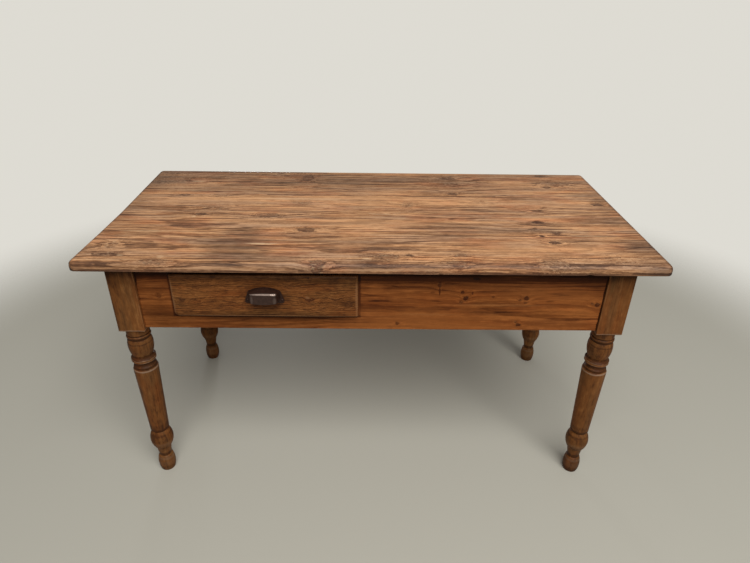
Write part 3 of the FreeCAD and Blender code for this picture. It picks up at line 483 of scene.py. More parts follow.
def knot_group(name):
    """One knot: the swing that it gives the rings round it, its dark core and the torn grain near it."""
    weave, given, out = new_group(
        name, ("Point", "Centre", "Reach"), ("Swing", "Depth", "Lift", "Dark", "Rim", "Torn"),
        ("Lift", "Dark", "Rim", "Torn"))
    uneven = weave.math("SUBTRACT", weave.noise(given["Point"], "knot"), 0.5)
    far = weave.math("MULTIPLY_ADD", uneven, KNOT_UNEVEN, weave.reaches(given))
    fade = weave.math("EXPONENT", weave.math("MULTIPLY", far, KNOT_FADE))
    weave.feed(out["Lift"], weave.math("MULTIPLY_ADD", fade, given["Swing"], given["Lift"]))
    dark = weave.math("MAXIMUM", weave.mask(far, "knot core"), weave.mask(far, "knot halo"))
    own = weave.math("MULTIPLY", dark, given["Depth"])
    weave.feed(out["Dark"], weave.math("MAXIMUM", own, given["Dark"]))
    off_rim = weave.math("ABSOLUTE", weave.math("SUBTRACT", far, KNOT_RIM))
    rim = weave.math("MULTIPLY", weave.mask(off_rim, "knot rim"), given["Depth"])
    weave.feed(out["Rim"], weave.math("MAXIMUM", rim, given["Rim"]))
    weave.feed(out["Torn"], weave.math("MAXIMUM", weave.mask(far, "torn"), given["Torn"]))
    return weave.tree


def spot_group(name):
    """One soft spot, a mark or a stain, added to the total of the spots before it."""
    # Marks and stains made with this group also carry painted shade, painted shadows and painted highlights
    total = name + "s"
    weave, given, out = new_group(name, ("Point", "Centre", "Reach"), ("Depth", total), (total,))
    own = weave.mask(weave.reaches(given), name.lower())
    weave.feed(out[total], weave.math("MULTIPLY_ADD", own, given["Depth"], given[total]))
    return weave.tree


def outline_group(name):
    """A line along a box's faces, added to the marks that came before."""
    sockets = ("Point", "Centre", "Half"), ("Width", "Depth", "Marks"), ("Marks",)
    weave, given, out = new_group(name, *sockets)
    away = weave.vector("ABSOLUTE", weave.vector("SUBTRACT", given["Point"], given["Centre"]))
    past = weave.node("SeparateXYZ", {0: weave.vector("SUBTRACT", away, given["Half"])}).outputs
    off = weave.math("ABSOLUTE", weave.math("MAXIMUM", weave.math("MAXIMUM", past[0], past[1]), past[2]))
    near = weave.mask(weave.math("DIVIDE", off, given["Width"]), "outline")
    own = weave.math("MULTIPLY", near, given["Depth"])
    weave.feed(out["Marks"], weave.math("ADD", own, given["Marks"]))
    return weave.tree


def wear_group(name):
    """How near a point of a box's surface is to an edge: 1 on it, and 0 past the width or off the box."""
    weave, given, out = new_group(name, ("Point", "Low", "High"), ("Width",), ("Wear",))
    from_low = weave.vector("SUBTRACT", given["Point"], given["Low"])
    from_high = weave.vector("SUBTRACT", given["High"], given["Point"])
    nearest = weave.node("SeparateXYZ", {0: weave.vector("MINIMUM", from_low, from_high)}).outputs
    pairs = [weave.math("MAXIMUM", nearest[a], nearest[b]) for a, b in ((0, 1), (1, 2), (0, 2))]
    edge = weave.math("MINIMUM", weave.math("MINIMUM", pairs[0], pairs[1]), pairs[2])
    least = weave.math("MINIMUM", weave.math("MINIMUM", nearest[0], nearest[1]), nearest[2])
    within = weave.mask(least, "on box")
    ragged = weave.mask(weave.noise(given["Point"], "wear"), "ragged wear")
    reach = weave.math("MULTIPLY", ragged, given["Width"])
    wear = weave.math("SUBTRACT", 1.0, weave.math("DIVIDE", edge, reach), clamp=True)
    weave.feed(out["Wear"], weave.math("MULTIPLY", wear, within))
    return weave.tree


def groups():
    """The shared node groups, each built once."""
    makers = {"Wood grain": grain_group, "Knot": knot_group, "Mark": spot_group, "Outline": outline_group,
              "Stain": spot_group, "Edge wear": wear_group}
    return {name: bpy.data.node_groups.get(name) or make(name) for name, make in makers.items()}


def set_finish(names, material):
    """Gives CAD pieces their material."""
    for name in names:
        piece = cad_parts[name]
        if not piece.material_slots:
            piece.data.materials.append(material)
        for slot in piece.material_slots:
            slot.material = material


class Timber:
    """Where one piece of wood sits, the box whose edges are worn and what shows on it, all in metres."""

    def __init__(self, name, along, pith, seed):
        self.name = name
        self.along = along
        self.pith = pith
        self.seed = seed
        self.low, self.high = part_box(name)
        self.knots = self.marks = self.outlines = self.stains = ()

    def lay(self, knots, marks, stains, face, level):
        """Lays knots, marks and stains on the piece's face at that level along that axis."""
        self.knots = laid(knots, ("swing", "depth"), face, level, KNOT_DEPTH[face])
        self.marks = laid(marks, ("depth",), face, level, MARK_DEPTH)
        self.stains = laid(stains, ("depth",), face, level, STAIN_DEPTH)


def chained(weave, group, rows, names, **given):
    """Places one group per row, each fed by the one before it, and gives back the last one's outputs."""
    carried = dict.fromkeys(names, 0.0)
    for row in rows:
        made = weave.group(group, **given, **row, **carried)
        carried = {name: made.outputs[name.capitalize()] for name in names}
    return carried


def wood(timber, looks):
    """A worn, waxed wood material for one piece of wood."""
    shared = groups()
    material, weave, real = new_material(timber.name + "_wood")
    turn = TURNS[timber.along]
    point = weave.node("Mapping", {"Vector": real, "Rotation": turn}).outputs["Vector"]
    pith = Matrix.Rotation(turn[2], 3, "Z") @ Matrix.Rotation(turn[1], 3, "Y") @ timber.pith
    shake = weave.node("TexNoise", {"Vector": real, "Scale": 55.0, "Detail": 3.0}).outputs["Color"]
    shift = weave.vector("SCALE", weave.vector("SUBTRACT", shake, (0.5, 0.5, 0.5)))
    weave.feed(shift.node.inputs["Scale"], looks.ragged)
    ragged = weave.vector("ADD", real, shift)

    knots = chained(weave, shared["Knot"], timber.knots, ("lift", "dark", "rim", "torn"), point=ragged)
    marks = chained(weave, shared["Mark"], timber.marks, ("marks",), point=ragged)["marks"]
    fine = weave.vector("ADD", real, weave.vector("MULTIPLY", shift, FINE))
    lines = chained(weave, shared["Outline"], timber.outlines, ("marks",), point=fine)["marks"]
    marks = weave.math("ADD", marks, lines)
    stains = chained(weave, shared["Stain"], timber.stains, ("stains",), point=ragged)["stains"]
    grain = weave.group(shared["Wood grain"], point=point, pith=pith, seed=timber.seed, lift=knots["lift"],
                        spacing=looks.spacing, waver=looks.waver, sway=looks.sway).outputs

    level = weave.math("MULTIPLY_ADD", weave.math("MAXIMUM", marks, 0.0), looks.marks, 0.5)
    for name, middle in GRAIN_MIDDLES.items():
        share = 2 * getattr(looks, name.lower())
        level = weave.math("MULTIPLY_ADD", weave.math("SUBTRACT", grain[name], middle), share, level)
    colour = weave.ramp(level, [(0.0, looks.light), (0.5, looks.middle), (1.0, looks.dark)])
    for name, wash in (("Hue", looks.tired), ("Flush", looks.flush)):
        washed = weave.blend(1.0, colour, wash, "MULTIPLY")
        colour = weave.blend(weave.between(grain[name], *COMES_UP[name], 0.0, looks.drift), colour, washed)
    # Stains here also carry painted shade and painted shadows
    stained_and_shaded = weave.blend(1.0, colour, looks.stain, "MULTIPLY")
    patchy = weave.mask(grain["Streaks"], "patchy stain")
    colour = weave.blend(weave.math("MULTIPLY", stains, patchy, clamp=True), colour, stained_and_shaded)
    clear = weave.blend(CLEAR, colour, looks.light)
    colour = weave.blend(weave.math("MULTIPLY", stains, -1.0, clamp=True), colour, clear)

    dashes = weave.between(weave.noise(point, "pores"), *COMES_UP["pores"], 0.0, looks.pores)
    # Pale marks here also carry painted highlights
    bare_and_highlit = weave.math("MULTIPLY", weave.math("MULTIPLY", marks, -1.0, clamp=True), looks.chips)
    flecks = weave.between(weave.noise(point, "flecks"), *COMES_UP["flecks"], 0.0, looks.flecks)
    rough_core = weave.mask(weave.noise(point, "knot core"), "rough core")
    wear = weave.group(shared["Edge wear"], point=real, low=timber.low, high=timber.high,
                       width=looks.wear_width).outputs[0]
    layers = (
        (dashes, looks.deep),
        (weave.math("SUBTRACT", marks, 1.0, clamp=True), looks.deep),
        (bare_and_highlit, looks.pale),
        (weave.math("MULTIPLY", flecks, knots["torn"]), looks.pale),
        (weave.math("MULTIPLY", knots["dark"], rough_core), looks.knot),
        (weave.math("MULTIPLY", knots["rim"], rough_core), looks.deep),
        (weave.math("MULTIPLY", wear, looks.wear), looks.worn),
    )
    for share, paint in layers:
        colour = weave.blend(share, colour, paint)

    relief = weave.math("MULTIPLY", grain["Rings"], RELIEF["rings"])
    heights = {"lines": grain["Lines"], "fibres": grain["Fibres"], "pores": dashes, "knots": knots["dark"]}
    for name, height in heights.items():
        relief = weave.math("MULTIPLY_ADD", height, RELIEF[name], relief)
    bump = weave.node("Bump", {"Height": relief, "Strength": 0.8, "Distance": looks.relief})
    surface = weave.node("BsdfPrincipled", {
        "Base Color": colour,
        "Roughness": weave.between(grain["Lines"], 0.3, 0.7, looks.gloss, looks.gloss + DULLER),
        "Normal": bump.outputs["Normal"],
        "Specular IOR Level": looks.sheen,
    })
    weave.finish(surface)
    return material


# What a wood finish is made of: each property's name and what it does
WOOD_COLOURS = (
    ("light", "Palest wood"),
    ("middle", "Most of the wood"),
    ("dark", "Late wood and old dirt"),
    ("deep", "Cracks, pores and knot cores"),
    ("worn", "Rubbed edges"),
    ("knot", "Knots' cores"),
    # Pale also paints the painted highlights laid as pale marks
    ("pale", "Chips, flecks and rubbed lines"),
    # Stain also paints the painted shade and painted shadows laid as stains
    ("stain", "What an old stain leaves of each colour"),
    ("tired", "What tired, greyer wood keeps of each colour"),
    ("flush", "What reddish wood keeps of each colour"),
)
WOOD_LENGTHS = (
    ("spacing", "From one growth ring to the next"),
    ("waver", "How far the rings wander"),
    ("sway", "How far the streaks wander"),
    ("ragged", "How ragged knots and marks are"),
    ("wear_width", "How far wear reaches from an edge"),
    ("relief", "Depth of the grain"),
)
WOOD_SHARES = (
    ("rings", "Strength of the growth rings"),
    ("streaks", "Strength of the broad streaks"),
    ("lines", "Strength of the fine lines"),
    ("veins", "Strength of the thin dark veins"),
    ("fibres", "Strength of the fibres"),
    ("tone", "Strength of the broad shading"),
    ("blotch", "Strength of the small blotches"),
    ("drift", "How far patches turn to tired wood"),
    ("pores", "Strength of short dark pores"),
    ("marks", "Strength of the dark marks"),
    ("chips", "Strength of the pale marks"),
    ("flecks", "Strength of the pale flecks near knots"),
    ("wear", "Strength of the edge wear"),
    ("gloss", "Lowest roughness of the wax"),
    ("sheen", "Strength of the wax's reflection"),
)


def colour_property(name, description, default):
    return bpy.props.FloatVectorProperty(name=name, description=description, default=default + (1.0,), size=4,
                                         subtype="COLOR", min=0.0, max=1.0)


def angle_property(name, description, degrees):
    return bpy.props.FloatProperty(name=name, description=description, default=math.radians(degrees),
                                   subtype="ANGLE", unit="ROTATION")


def wood_properties(**defaults):
    """One property for each colour, length and strength of a wood finish."""
    made = {key: colour_property(key.capitalize(), about, defaults[key]) for key, about in WOOD_COLOURS}
    for key, about in WOOD_LENGTHS:
        made[key] = bpy.props.FloatProperty(
            name=key.replace("_", " ").capitalize(), description=about, default=defaults[key], min=0.0,
            subtype="DISTANCE", unit="LENGTH", precision=4)
    for key, about in WOOD_SHARES:
        made[key] = bpy.props.FloatProperty(
            name=key.capitalize(), description=about, default=defaults[key], min=0.0, max=4.0,
            subtype="FACTOR")
    return made


class TopLooks(bpy.types.PropertyGroup):
    """Colours and grain of the top boards."""

    __annotations__ = wood_properties(
        light=(0.63, 0.336, 0.16), middle=(0.35, 0.165, 0.071), dark=(0.13, 0.058, 0.027),
        deep=(0.035, 0.017, 0.011), worn=(0.2, 0.1, 0.052), knot=(0.06, 0.022, 0.013),
        # The stain colour also paints the painted shade on the front face
        pale=(0.62, 0.41, 0.235), stain=(0.46, 0.48, 0.53), tired=(0.71, 0.79, 0.97), flush=(1.0, 0.82, 0.74),
        spacing=0.0085, waver=0.055, sway=0.03, ragged=0.01, wear_width=0.006, relief=0.0004,
        rings=0.24, streaks=0.52, lines=1.45, veins=0.3, fibres=0.8, tone=0.28, blotch=0.36, drift=0.85,
        pores=0.1, marks=0.42, chips=0.75, flecks=0.6, wear=0.25, gloss=0.42, sheen=0.14)


class ApronLooks(bpy.types.PropertyGroup):
    """Colours and grain of the aprons."""

    __annotations__ = wood_properties(
        light=(0.29, 0.096, 0.023), middle=(0.158, 0.047, 0.0105), dark=(0.068, 0.018, 0.0045),
        deep=(0.018, 0.006, 0.003), worn=(0.19, 0.07, 0.022), knot=(0.03, 0.006, 0.002),
        # The stain colour is also the olive of the painted shade under the top and of the painted shadow
        # below the drawer
        pale=(0.31, 0.135, 0.045), stain=(0.26, 0.235, 0.18), tired=(0.78, 0.82, 1.0), flush=(1.0, 0.82, 0.7),
        spacing=0.012, waver=0.075, sway=0.04, ragged=0.007, wear_width=0.004, relief=0.0002,
        rings=0.2, streaks=0.3, lines=0.45, veins=0.2, fibres=0.3, tone=0.55, blotch=0.28, drift=0.5,
        pores=0.1, marks=0.6, chips=0.6, flecks=0.5, wear=0.3, gloss=0.42, sheen=0.06)


class LegLooks(bpy.types.PropertyGroup):
    """Colours and grain of the legs."""

    __annotations__ = wood_properties(
        light=(0.225, 0.093, 0.027), middle=(0.132, 0.048, 0.0125), dark=(0.056, 0.0195, 0.0062),
        deep=(0.016, 0.006, 0.003), worn=(0.24, 0.12, 0.05), knot=(0.025, 0.009, 0.005),
        # The pale colour is also the grey of the painted highlights on the turned parts, and the stain colour
        # that of the painted shade at the top of the heads
        pale=(0.23, 0.165, 0.115), stain=(0.42, 0.4, 0.38), tired=(0.78, 0.95, 1.2), flush=(1.0, 0.84, 0.76),
        spacing=0.008, waver=0.03, sway=0.02, ragged=0.006, wear_width=0.003, relief=0.00025,
        rings=0.08, streaks=0.17, lines=0.24, veins=0.05, fibres=0.4, tone=0.6, blotch=0.6, drift=0.8,
        pores=0.06, marks=0.9, chips=0.8, flecks=0.0, wear=0.4, gloss=0.42, sheen=0.07)


class DrawerLooks(bpy.types.PropertyGroup):
    """Colours and grain of the drawer front."""

    __annotations__ = wood_properties(
        light=(0.23, 0.087, 0.024), middle=(0.132, 0.045, 0.011), dark=(0.054, 0.018, 0.006),
        deep=(0.02, 0.008, 0.004), worn=(0.2, 0.09, 0.034), knot=(0.025, 0.009, 0.005),
        # The stain colour also paints the painted shade under the top and the painted shadows round the pull
        pale=(0.24, 0.115, 0.05), stain=(0.42, 0.4, 0.39), tired=(0.8, 0.92, 1.0), flush=(1.0, 0.82, 0.72),
        spacing=0.0065, waver=0.04, sway=0.05, ragged=0.008, wear_width=0.007, relief=0.0004,
        rings=0.3, streaks=0.22, lines=0.5, veins=0.15, fibres=0.9, tone=0.3, blotch=0.55, drift=0.8,
        pores=0.45, marks=0.5, chips=0.65, flecks=0.0, wear=0.25, gloss=0.42, sheen=0.08)


class InnerLooks(bpy.types.PropertyGroup):
    """Colours and grain of the drawer box and the rails inside."""

    __annotations__ = wood_properties(
        light=(0.5, 0.31, 0.16), middle=(0.34, 0.19, 0.088), dark=(0.2, 0.1, 0.045),
        deep=(0.06, 0.03, 0.015), worn=(0.44, 0.28, 0.15), knot=(0.09, 0.04, 0.02),
        pale=(0.56, 0.4, 0.24), stain=(0.5, 0.5, 0.55), tired=(0.8, 0.84, 0.95), flush=(1.0, 0.9, 0.86),
        spacing=0.006, waver=0.04, sway=0.02, ragged=0.006, wear_width=0.003, relief=0.0002,
        rings=0.3, streaks=0.4, lines=0.45, veins=0.1, fibres=0.2, tone=0.45, blotch=0.2, drift=0.5,
        pores=0.12, marks=0.4, chips=0.5, flecks=0.0, wear=0.3, gloss=0.55, sheen=0.15)


class StageSettings(bpy.types.PropertyGroup):
    """Camera, floor and light."""

    lens: bpy.props.FloatProperty(name="Lens", description="Focal length on a 36 mm wide sensor",
                                  default=27.09, min=1.0, subtype="DISTANCE_CAMERA", unit="CAMERA")
    camera_place: bpy.props.FloatVectorProperty(
        name="Camera place", description="Where the camera stands", default=(-0.0086, -1.6053, 1.4101),
        subtype="XYZ", unit="LENGTH")
    yaw: angle_property("Yaw", "Turn to the right", 0.718)
    pitch: angle_property("Pitch", "Tilt down", 28.991)
    roll: angle_property("Roll", "Tilt to the side", 0.826)
    floor_colour: colour_property("Floor", "Colour of the floor", (0.385, 0.368, 0.310))
    wall_colour: colour_property("Backdrop", "Colour behind everything", (0.73, 0.71, 0.65))


def laid(rows, names, face, level, through):
    """Places and sizes in millimetres on a piece's face, as the inputs of the groups for spots, in metres."""
    made = []
    for across, upward, half_across, half_upward, *rest in rows:
        if face == "Z":
            centre, reach = (across, upward, 0), (half_across, half_upward, 0)
        else:
            centre, reach = (across, 0, upward), (half_across, 0, half_upward)
        centre, reach = place(*centre), place(*reach)
        centre["XYZ".index(face)], reach["XYZ".index(face)] = level, through
        given = dict(zip(names, rest), centre=centre, reach=reach)
        if "swing" in given:
            given["swing"] /= 1000
        made.append(given)
    return made


def seed_of(kind, index):
    """Where the grain of one board of a kind starts."""
    return [first + index * step for first, step in zip(*SEEDS[kind])]


def nearness(point, middle, reach):
    """How near a point is to a dent's middle: 1 there and 0 from the reach on."""
    far = min((point - middle).length / reach, 1.0)
    return (1 - far * far) ** 2


def cut_across(shape, point, direction):
    """Cuts every face of a shape where a plane runs through it."""
    bmesh.ops.bisect_plane(shape, geom=shape.verts[:] + shape.edges[:] + shape.faces[:], dist=ON_CUT,
                           plane_co=point, plane_no=direction)


def inward_wear(co, low, high):
    """How far age has moved a point of a top board's surface inwards."""
    inward = Vector((0, 0, 0))
    waver = WAVER_LEAST
    for waves, level, height in WAVES:
        waver += height * noise.noise(Vector((co.x * waves, co.y * waves, level)))
    for axis in (0, 1):
        inward[axis] += max(1 - (co[axis] - cad_low[axis]) / WAVER_REACH, 0) * waver
        inward[axis] -= max(1 - (cad_high[axis] - co[axis]) / WAVER_REACH, 0) * waver
    bow = BOW * math.cos(math.pi * min((co.y - BOW_MIDDLE) / BOW_WIDTH, 0.5)) ** 2
    inward.x += bow * max(1 - (co.x - cad_low.x) / BOW_REACH, 0)
    middle_z = (low.z + high.z) / 2
    for seam in (low.y, high.y):
        if co.z > middle_z and abs(seam - cad_low.y) > ON_SIDE and abs(seam - cad_high.y) > ON_SIDE:
            along = Vector((co.x * SEAM_WAVES, seam * SEAM_STEP, SEAM_LEVEL))
            opening = SEAM_DEPTH + SEAM_CHANGE * noise.noise(along)
            inward.z -= opening * max(1 - abs(co.y - seam) / SEAM_WIDTH, 0)
    for middle, reach, depth in WORN_SPOTS:
        if abs(co.x - middle.x) < reach:
            heart = Vector((co.x * DENT_AIM[0], co.y * DENT_AIM[1], middle_z))
            inward += (heart - co).normalized() * (nearness(co, middle, reach) * depth)
    return inward


def worn_board(name):
    """A copy of a top board whose edges waver, with open seams and small dents."""
    low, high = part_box(name)
    board = bmesh.new()
    board.from_mesh(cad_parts[name].data)
    bmesh.ops.remove_doubles(board, verts=board.verts, dist=MERGED)
    for inset in SIDE_CUTS:
        cut_across(board, (0, low.y + inset, 0), (0, 1, 0))
        cut_across(board, (0, high.y - inset, 0), (0, 1, 0))
    places = [low.x + FIRST_SLICE + SLICE * step for step in range(int((high.x - low.x) / SLICE))]
    for middle, reach, _ in WORN_SPOTS:
        if low.y - reach < middle.y < high.y + reach:
            places += [middle.x + share * reach for share in DENT_CUTS]
    for at in sorted(places):
        cut_across(board, (at, 0, 0), (1, 0, 0))
    for vert in board.verts:
        vert.co += inward_wear(vert.co.copy(), low, high)
    for edge in board.edges:
        edge.smooth = edge.calc_face_angle(math.pi) < SHARP
    for face in board.faces:
        face.smooth = True
    mesh = bpy.data.meshes.new(name + "_worn")
    board.to_mesh(mesh)
    board.free()
    piece = bpy.data.objects.new(name + "_worn", mesh)
    bpy.context.scene.collection.objects.link(piece)
    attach(piece, "table")
    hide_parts(name)
    return piece


def spot(centre, reach, depth):
    """One mark or stain, as the inputs of its group."""
    return {"centre": centre, "reach": reach, "depth": depth}


def outline(centre, half, width, depth):
    """One line along a box's faces, as the inputs of its group."""
    return {"centre": centre, "half": half, "width": width, "depth": depth}


def lip_box(wider):
    """Middle and half sizes of a box round the drawer front, wider by that much and endless along Y."""
    low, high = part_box("drawer_front")
    half = (high - low) / 2 + Vector((wider, 0, wider))
    return (low + high) / 2, (half.x, FAR, half.z)


class TABLE_OT_finish_top(bpy.types.Operator):
    """Wears the top boards' edges and gives them their old, scrubbed pine"""

    bl_idname = "table.finish_top"
    bl_label = "Finish top boards"

    def execute(self, context):
        looks = context.scene.table_top
        for index, name in enumerate(sorted(KNOTS)):
            low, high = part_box(name)
            pith = Vector((0, (low.y + high.y) / 2, low.z - TOP_PITH_STEP * index)) + TOP_PITH
            timber = Timber(name, "X", pith, seed_of("top", index))
            timber.low, timber.high = Vector((cad_low.x, cad_low.y, low.z)), cad_high
            timber.lay(KNOTS[name], MARKS[name], STAINS[name], "Z", high.z)
            # Painted shade along the lower front edge; the back edge and the left end are only made darker
            timber.marks += [
                spot((0, cad_low.y, low.z), *FRONT_EDGE),
                spot((0, cad_high.y, high.z), *BACK_EDGE),
                spot((cad_low.x, 0, high.z), *LEFT_EDGE),
            ]
            # Painted shade on the top's front face
            timber.stains.append(spot((0, cad_low.y, FRONT_FACE_Z), *FRONT_FACE))
            timber.outlines = [outline((0, 0, 0), (cad_high.x, FAR, FAR), *END_LINE)]
            for x, y, half_length, width, depth in SEAM_LINES:
                half = (half_length / 1000, 0, FAR)
                timber.outlines.append(outline(place(x, y), half, width / 1000, depth))
            worn_board(name).data.materials.append(wood(timber, looks))
        return {"FINISHED"}


class TABLE_OT_finish_aprons(bpy.types.Operator):
    """Gives the aprons their reddish pine"""

    bl_idname = "table.finish_aprons"
    bl_label = "Finish aprons"

    def execute(self, context):
        looks = context.scene.table_aprons
        for index, name in enumerate(("apron_front", "apron_back", "apron_left", "apron_right")):
            low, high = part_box(name)
            along = "X" if index < 2 else "Y"
            pith = (low + high) / 2 + (LONG_APRON_PITH if along == "X" else SHORT_APRON_PITH)
            timber = Timber(name, along, pith, seed_of("apron", index))
            if name == "apron_front":
                # The front apron's stains take in the painted shade under the top's overhang
                timber.lay(APRON_KNOTS, APRON_MARKS, APRON_STAINS_AND_SHADOWS + UNDER_TOP, "Y", low.y)
                timber.outlines = (
                    # A painted shadow round the drawer front's lip
                    outline(*lip_box(ROUND_LIP), *APRON_LIP_LINE),
                    # A line of painted shade under the top's overhang
                    outline((0, 0, 0), (FAR, FAR, SHADED_Z), SHADED_WIDTH, APRON_SHADE),
                )
            set_finish([name], wood(timber, looks))
        return {"FINISHED"}


class TABLE_OT_finish_legs(bpy.types.Operator):
    """Gives the turned legs their wood"""

    bl_idname = "table.finish_legs"
    bl_label = "Finish legs"

    def execute(self, context):
        looks = context.scene.table_legs
        names = sorted(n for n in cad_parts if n.startswith("leg_"))
        for index, name in enumerate(names):
            low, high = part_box(name)
            middle = (low + high) / 2
            pith = Vector((middle.x, middle.y, 0)) + LEG_PITH
            timber = Timber(name, "Z", pith, seed_of("leg", index))
            timber.low = Vector((low.x, low.y, HEAD_LOW))
            # Painted shade at the top of each head, under the overhang
            timber.stains = [spot((middle.x, middle.y, high.z), (1.0, 1.0, reach), depth)
                             for reach, depth in HEAD_SHADES]
            # The right feet get darker towards the floor
            if "right" in name:
                reach, depth = FOOT_DARK
                timber.stains.append(spot((middle.x, middle.y, FOOT_DARK_Z), (1.0, 1.0, reach), depth))
            # Dark wax and painted shade in the grooves and coves, and painted highlights on beads and rims
            timber.marks = [spot((middle.x, middle.y, height / 1000), (1.0, 1.0, half_height / 1000), depth)
                            for height, half_height, depth in LEG_BANDS]
            set_finish([name], wood(timber, looks))
        return {"FINISHED"}


def plain_wood(name, along, pith, seed, looks):
    """Gives a piece a wood with no marks of its own, its pith beside the piece's middle."""
    low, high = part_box(name)
    middle = (low + high) / 2
    timber = Timber(name, along, middle + pith, (middle.x, middle.y, seed))
    set_finish([name], wood(timber, looks))


class TABLE_OT_finish_drawer(bpy.types.Operator):
    """Gives the drawer its front's coarse dark wood and its box's plain wood"""

    bl_idname = "table.finish_drawer"
    bl_label = "Finish drawer"

    def execute(self, context):
        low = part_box("drawer_front")[0]
        timber = Timber("drawer_front", "X", Vector((0, low.y, low.z)) + FRONT_PITH, FRONT_SEED)
        # The drawer front's stains take in the painted shade under the top's overhang
        timber.lay(DRAWER_KNOTS, DRAWER_MARKS, DRAWER_STAINS_AND_SHADOWS + UNDER_TOP, "Y", low.y)
        timber.outlines = (
            # A pale line inside the lip, partly pale wear and partly a painted highlight on its rounded edges
            outline(*lip_box(-IN_LIP), *FRONT_LIP_LINE),
            # A line of painted shade under the top's overhang
            outline((0, 0, 0), (FAR, FAR, SHADED_Z), SHADED_WIDTH, FRONT_SHADE),
        )
        set_finish(["drawer_front"], wood(timber, context.scene.table_drawer))
        for name in ("drawer_side_left", "drawer_side_right", "drawer_back", "drawer_bottom"):
            along = "Y" if "side" in name else "X"
            plain_wood(name, along, BOX_PITH, BOX_SEED, context.scene.table_inner)
        return {"FINISHED"}


class TABLE_OT_finish_inside(bpy.types.Operator):
    """Gives the rails, braces, buttons and dowels their plain wood"""

    bl_idname = "table.finish_inside"
    bl_label = "Finish inner pieces"

    def execute(self, context):
        looks = context.scene.table_inner
        for name in sorted(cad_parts):
            if not name.startswith(("drawer_runner", "drawer_guide_l", "drawer_guide_r", "drawer_kicker",
                                    "corner_brace", "top_buttons", "top_dowels", "drawer_stop_button")):
                continue
            if name.endswith("screws"):
                continue
            along = "Y" if name.startswith("drawer_") else "X"
            plain_wood(name, along, RAIL_PITH, RAIL_SEED, looks)
        return {"FINISHED"}


def metal(name, base, edge, roughness, rubbed_and_highlit=()):
    """A dull old metal with darker patches and brighter, smoother ones; on the pull these are partly worn
    iron and partly painted highlights.
    """
    material, weave, real = new_material(name)
    patches = weave.noise(real, "iron")
    bright = chained(weave, groups()["Mark"], rubbed_and_highlit, ("marks",), point=real)["marks"]
    # Brighter, more metallic and smoother where the iron is worn and where highlights are painted
    scuffed_and_highlit = weave.math("MULTIPLY", bright, weave.mask(patches, "scuff"), clamp=True)
    colour = weave.ramp(patches, [(0.3, base), (0.8, [part * 1.7 for part in base[:3]] + [1.0])])
    colour = weave.blend(scuffed_and_highlit, colour, edge)
    pits = weave.noise(real, "pits")
    bump = weave.node("Bump", {"Height": pits, "Strength": 0.35, "Distance": 0.0002})
    surface = weave.node("BsdfPrincipled", {
        "Base Color": colour,
        "Metallic": weave.between(scuffed_and_highlit, 0.0, 1.0, 0.25, 0.80),
        "Roughness": weave.between(scuffed_and_highlit, 0.0, 1.0, roughness + 0.1, roughness - 0.1),
        "Normal": bump.outputs["Normal"],
        "Specular IOR Level": 0.25,
    })
    weave.finish(surface)
    return material


class TABLE_OT_finish_metal(bpy.types.Operator):
    """Gives the pull its dark iron and the fixings their steel"""

    bl_idname = "table.finish_metal"
    bl_label = "Finish metal"

    def execute(self, context):
        rubbed_and_highlit = laid(RUBBED_AND_HIGHLIT_IRON, ("depth",), "Y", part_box("cup_pull")[0].y, 0.006)
        iron = metal("pull_iron", (0.021, 0.0080, 0.0045, 1), (0.42, 0.32, 0.26, 1), 0.42, rubbed_and_highlit)
        steel = metal("fixing_steel", (0.10, 0.085, 0.07, 1), (0.30, 0.27, 0.24, 1), 0.45)
        set_finish(["cup_pull", "cup_pull_screws"], iron)
        set_finish(["top_button_screws", "corner_brace_screws", "drawer_guide_screws", "drawer_nails",
                    "drawer_stop_screw"], steel)
        return {"FINISHED"}


def floor_material(colour):
    """A pale floor that fades into the backdrop far from the table."""
    material, weave, real = new_material("floor")
    surface = weave.node("BsdfPrincipled", {"Base Color": colour, "Roughness": 0.6})
    faded = weave.between(weave.vector("LENGTH", real), *FADE)
    mixed = weave.node("MixShader", {0: faded, 1: surface.outputs[0]})
    weave.feed(mixed.inputs[2], weave.node("BsdfTransparent").outputs[0])
    weave.finish(mixed)
    return material


def soft_light(name, at, towards, size, power):
    """A square area light."""
    light = bpy.data.lights.new(name, "AREA")
    light.shape = "SQUARE"
    light.size = size
    light.energy = power
    lamp = bpy.data.objects.new(name, light)
    lamp.location = at
    lamp.rotation_euler = (Vector(towards) - Vector(at)).to_track_quat("-Z", "Y").to_euler()
    bpy.context.scene.collection.objects.link(lamp)


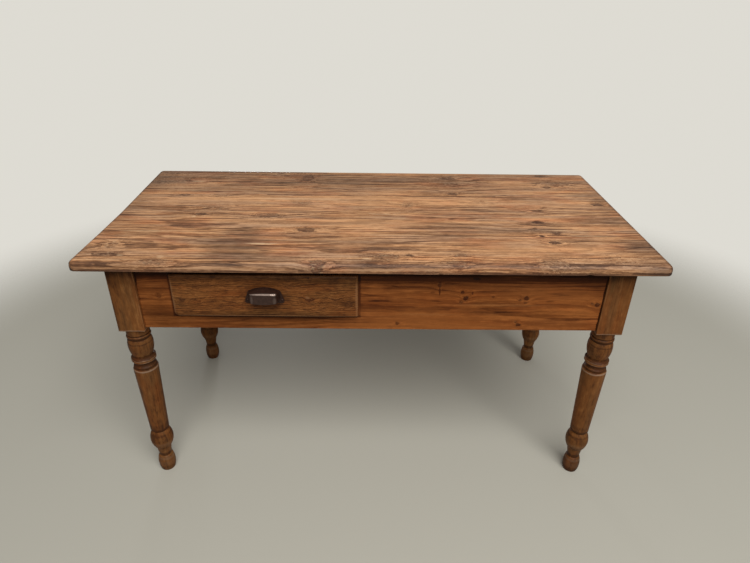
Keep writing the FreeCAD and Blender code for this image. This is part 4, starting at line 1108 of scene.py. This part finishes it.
class TABLE_OT_stage(bpy.types.Operator):
    """Sets the floor, the soft lights and the camera"""

    bl_idname = "table.stage"
    bl_label = "Set the stage"

    def execute(self, context):
        settings = context.scene.table_stage
        bpy.ops.mesh.primitive_circle_add(vertices=64, radius=FLOOR_RADIUS, fill_type="NGON")
        floor = context.object
        floor.name = "floor"
        floor.data.materials.append(floor_material(settings.floor_colour))

        world = bpy.data.worlds.new("studio")
        context.scene.world = world
        world.use_nodes = True
        weave = Weave(world.node_tree)
        weave.tree.nodes.clear()
        seen = weave.node("Background", {"Color": settings.wall_colour, "Strength": 1.0})
        lit = weave.node("Background", {"Color": AMBIENT_COLOUR, "Strength": AMBIENT_STRENGTH})
        mixed = weave.node("MixShader", {0: weave.node("LightPath").outputs["Is Camera Ray"]})
        weave.feed(mixed.inputs[1], lit.outputs[0])
        weave.feed(mixed.inputs[2], seen.outputs[0])
        weave.feed(weave.node("OutputWorld").inputs["Surface"], mixed.outputs[0])

        for light in LIGHTS:
            soft_light(*light)

        camera = bpy.data.cameras.new("camera")
        camera.lens = settings.lens
        camera.sensor_width = 36.0
        seat = bpy.data.objects.new("camera", camera)
        turned = Matrix.Translation(settings.camera_place)
        for angle, axis in ((-settings.yaw, "Z"), (math.pi / 2 - settings.pitch, "X"), (settings.roll, "Z")):
            turned = turned @ Matrix.Rotation(angle, 4, axis)
        seat.matrix_world = turned
        context.scene.collection.objects.link(seat)
        context.scene.camera = seat
        context.scene.view_settings.view_transform = "Standard"
        return {"FINISHED"}


SETTINGS = {"table_top": TopLooks, "table_aprons": ApronLooks, "table_legs": LegLooks,
            "table_drawer": DrawerLooks, "table_inner": InnerLooks, "table_stage": StageSettings}
OPERATORS = (TABLE_OT_finish_top, TABLE_OT_finish_aprons, TABLE_OT_finish_legs, TABLE_OT_finish_drawer,
             TABLE_OT_finish_inside, TABLE_OT_finish_metal, TABLE_OT_stage)


class TABLE_PT_panel(bpy.types.Panel):
    """Lists the steps that dress the table"""

    bl_idname = "TABLE_PT_panel"
    bl_label = "Work table"
    bl_space_type = "VIEW_3D"
    bl_region_type = "UI"
    bl_category = "Table"

    def draw(self, context):
        for operator in OPERATORS:
            self.layout.operator(operator.bl_idname)


CLASSES = tuple(SETTINGS.values()) + OPERATORS + (TABLE_PT_panel,)


def register():
    for item in CLASSES:
        bpy.utils.register_class(item)
    for name, kind in SETTINGS.items():
        setattr(bpy.types.Scene, name, bpy.props.PointerProperty(type=kind))


def unregister():
    for name in SETTINGS:
        delattr(bpy.types.Scene, name)
    for item in reversed(CLASSES):
        bpy.utils.unregister_class(item)


def main():
    register()
    bpy.ops.table.finish_top()
    bpy.ops.table.finish_aprons()
    bpy.ops.table.finish_legs()
    bpy.ops.table.finish_drawer()
    bpy.ops.table.finish_inside()
    bpy.ops.table.finish_metal()
    bpy.ops.table.stage()


if __name__ == "__main__":
    main()
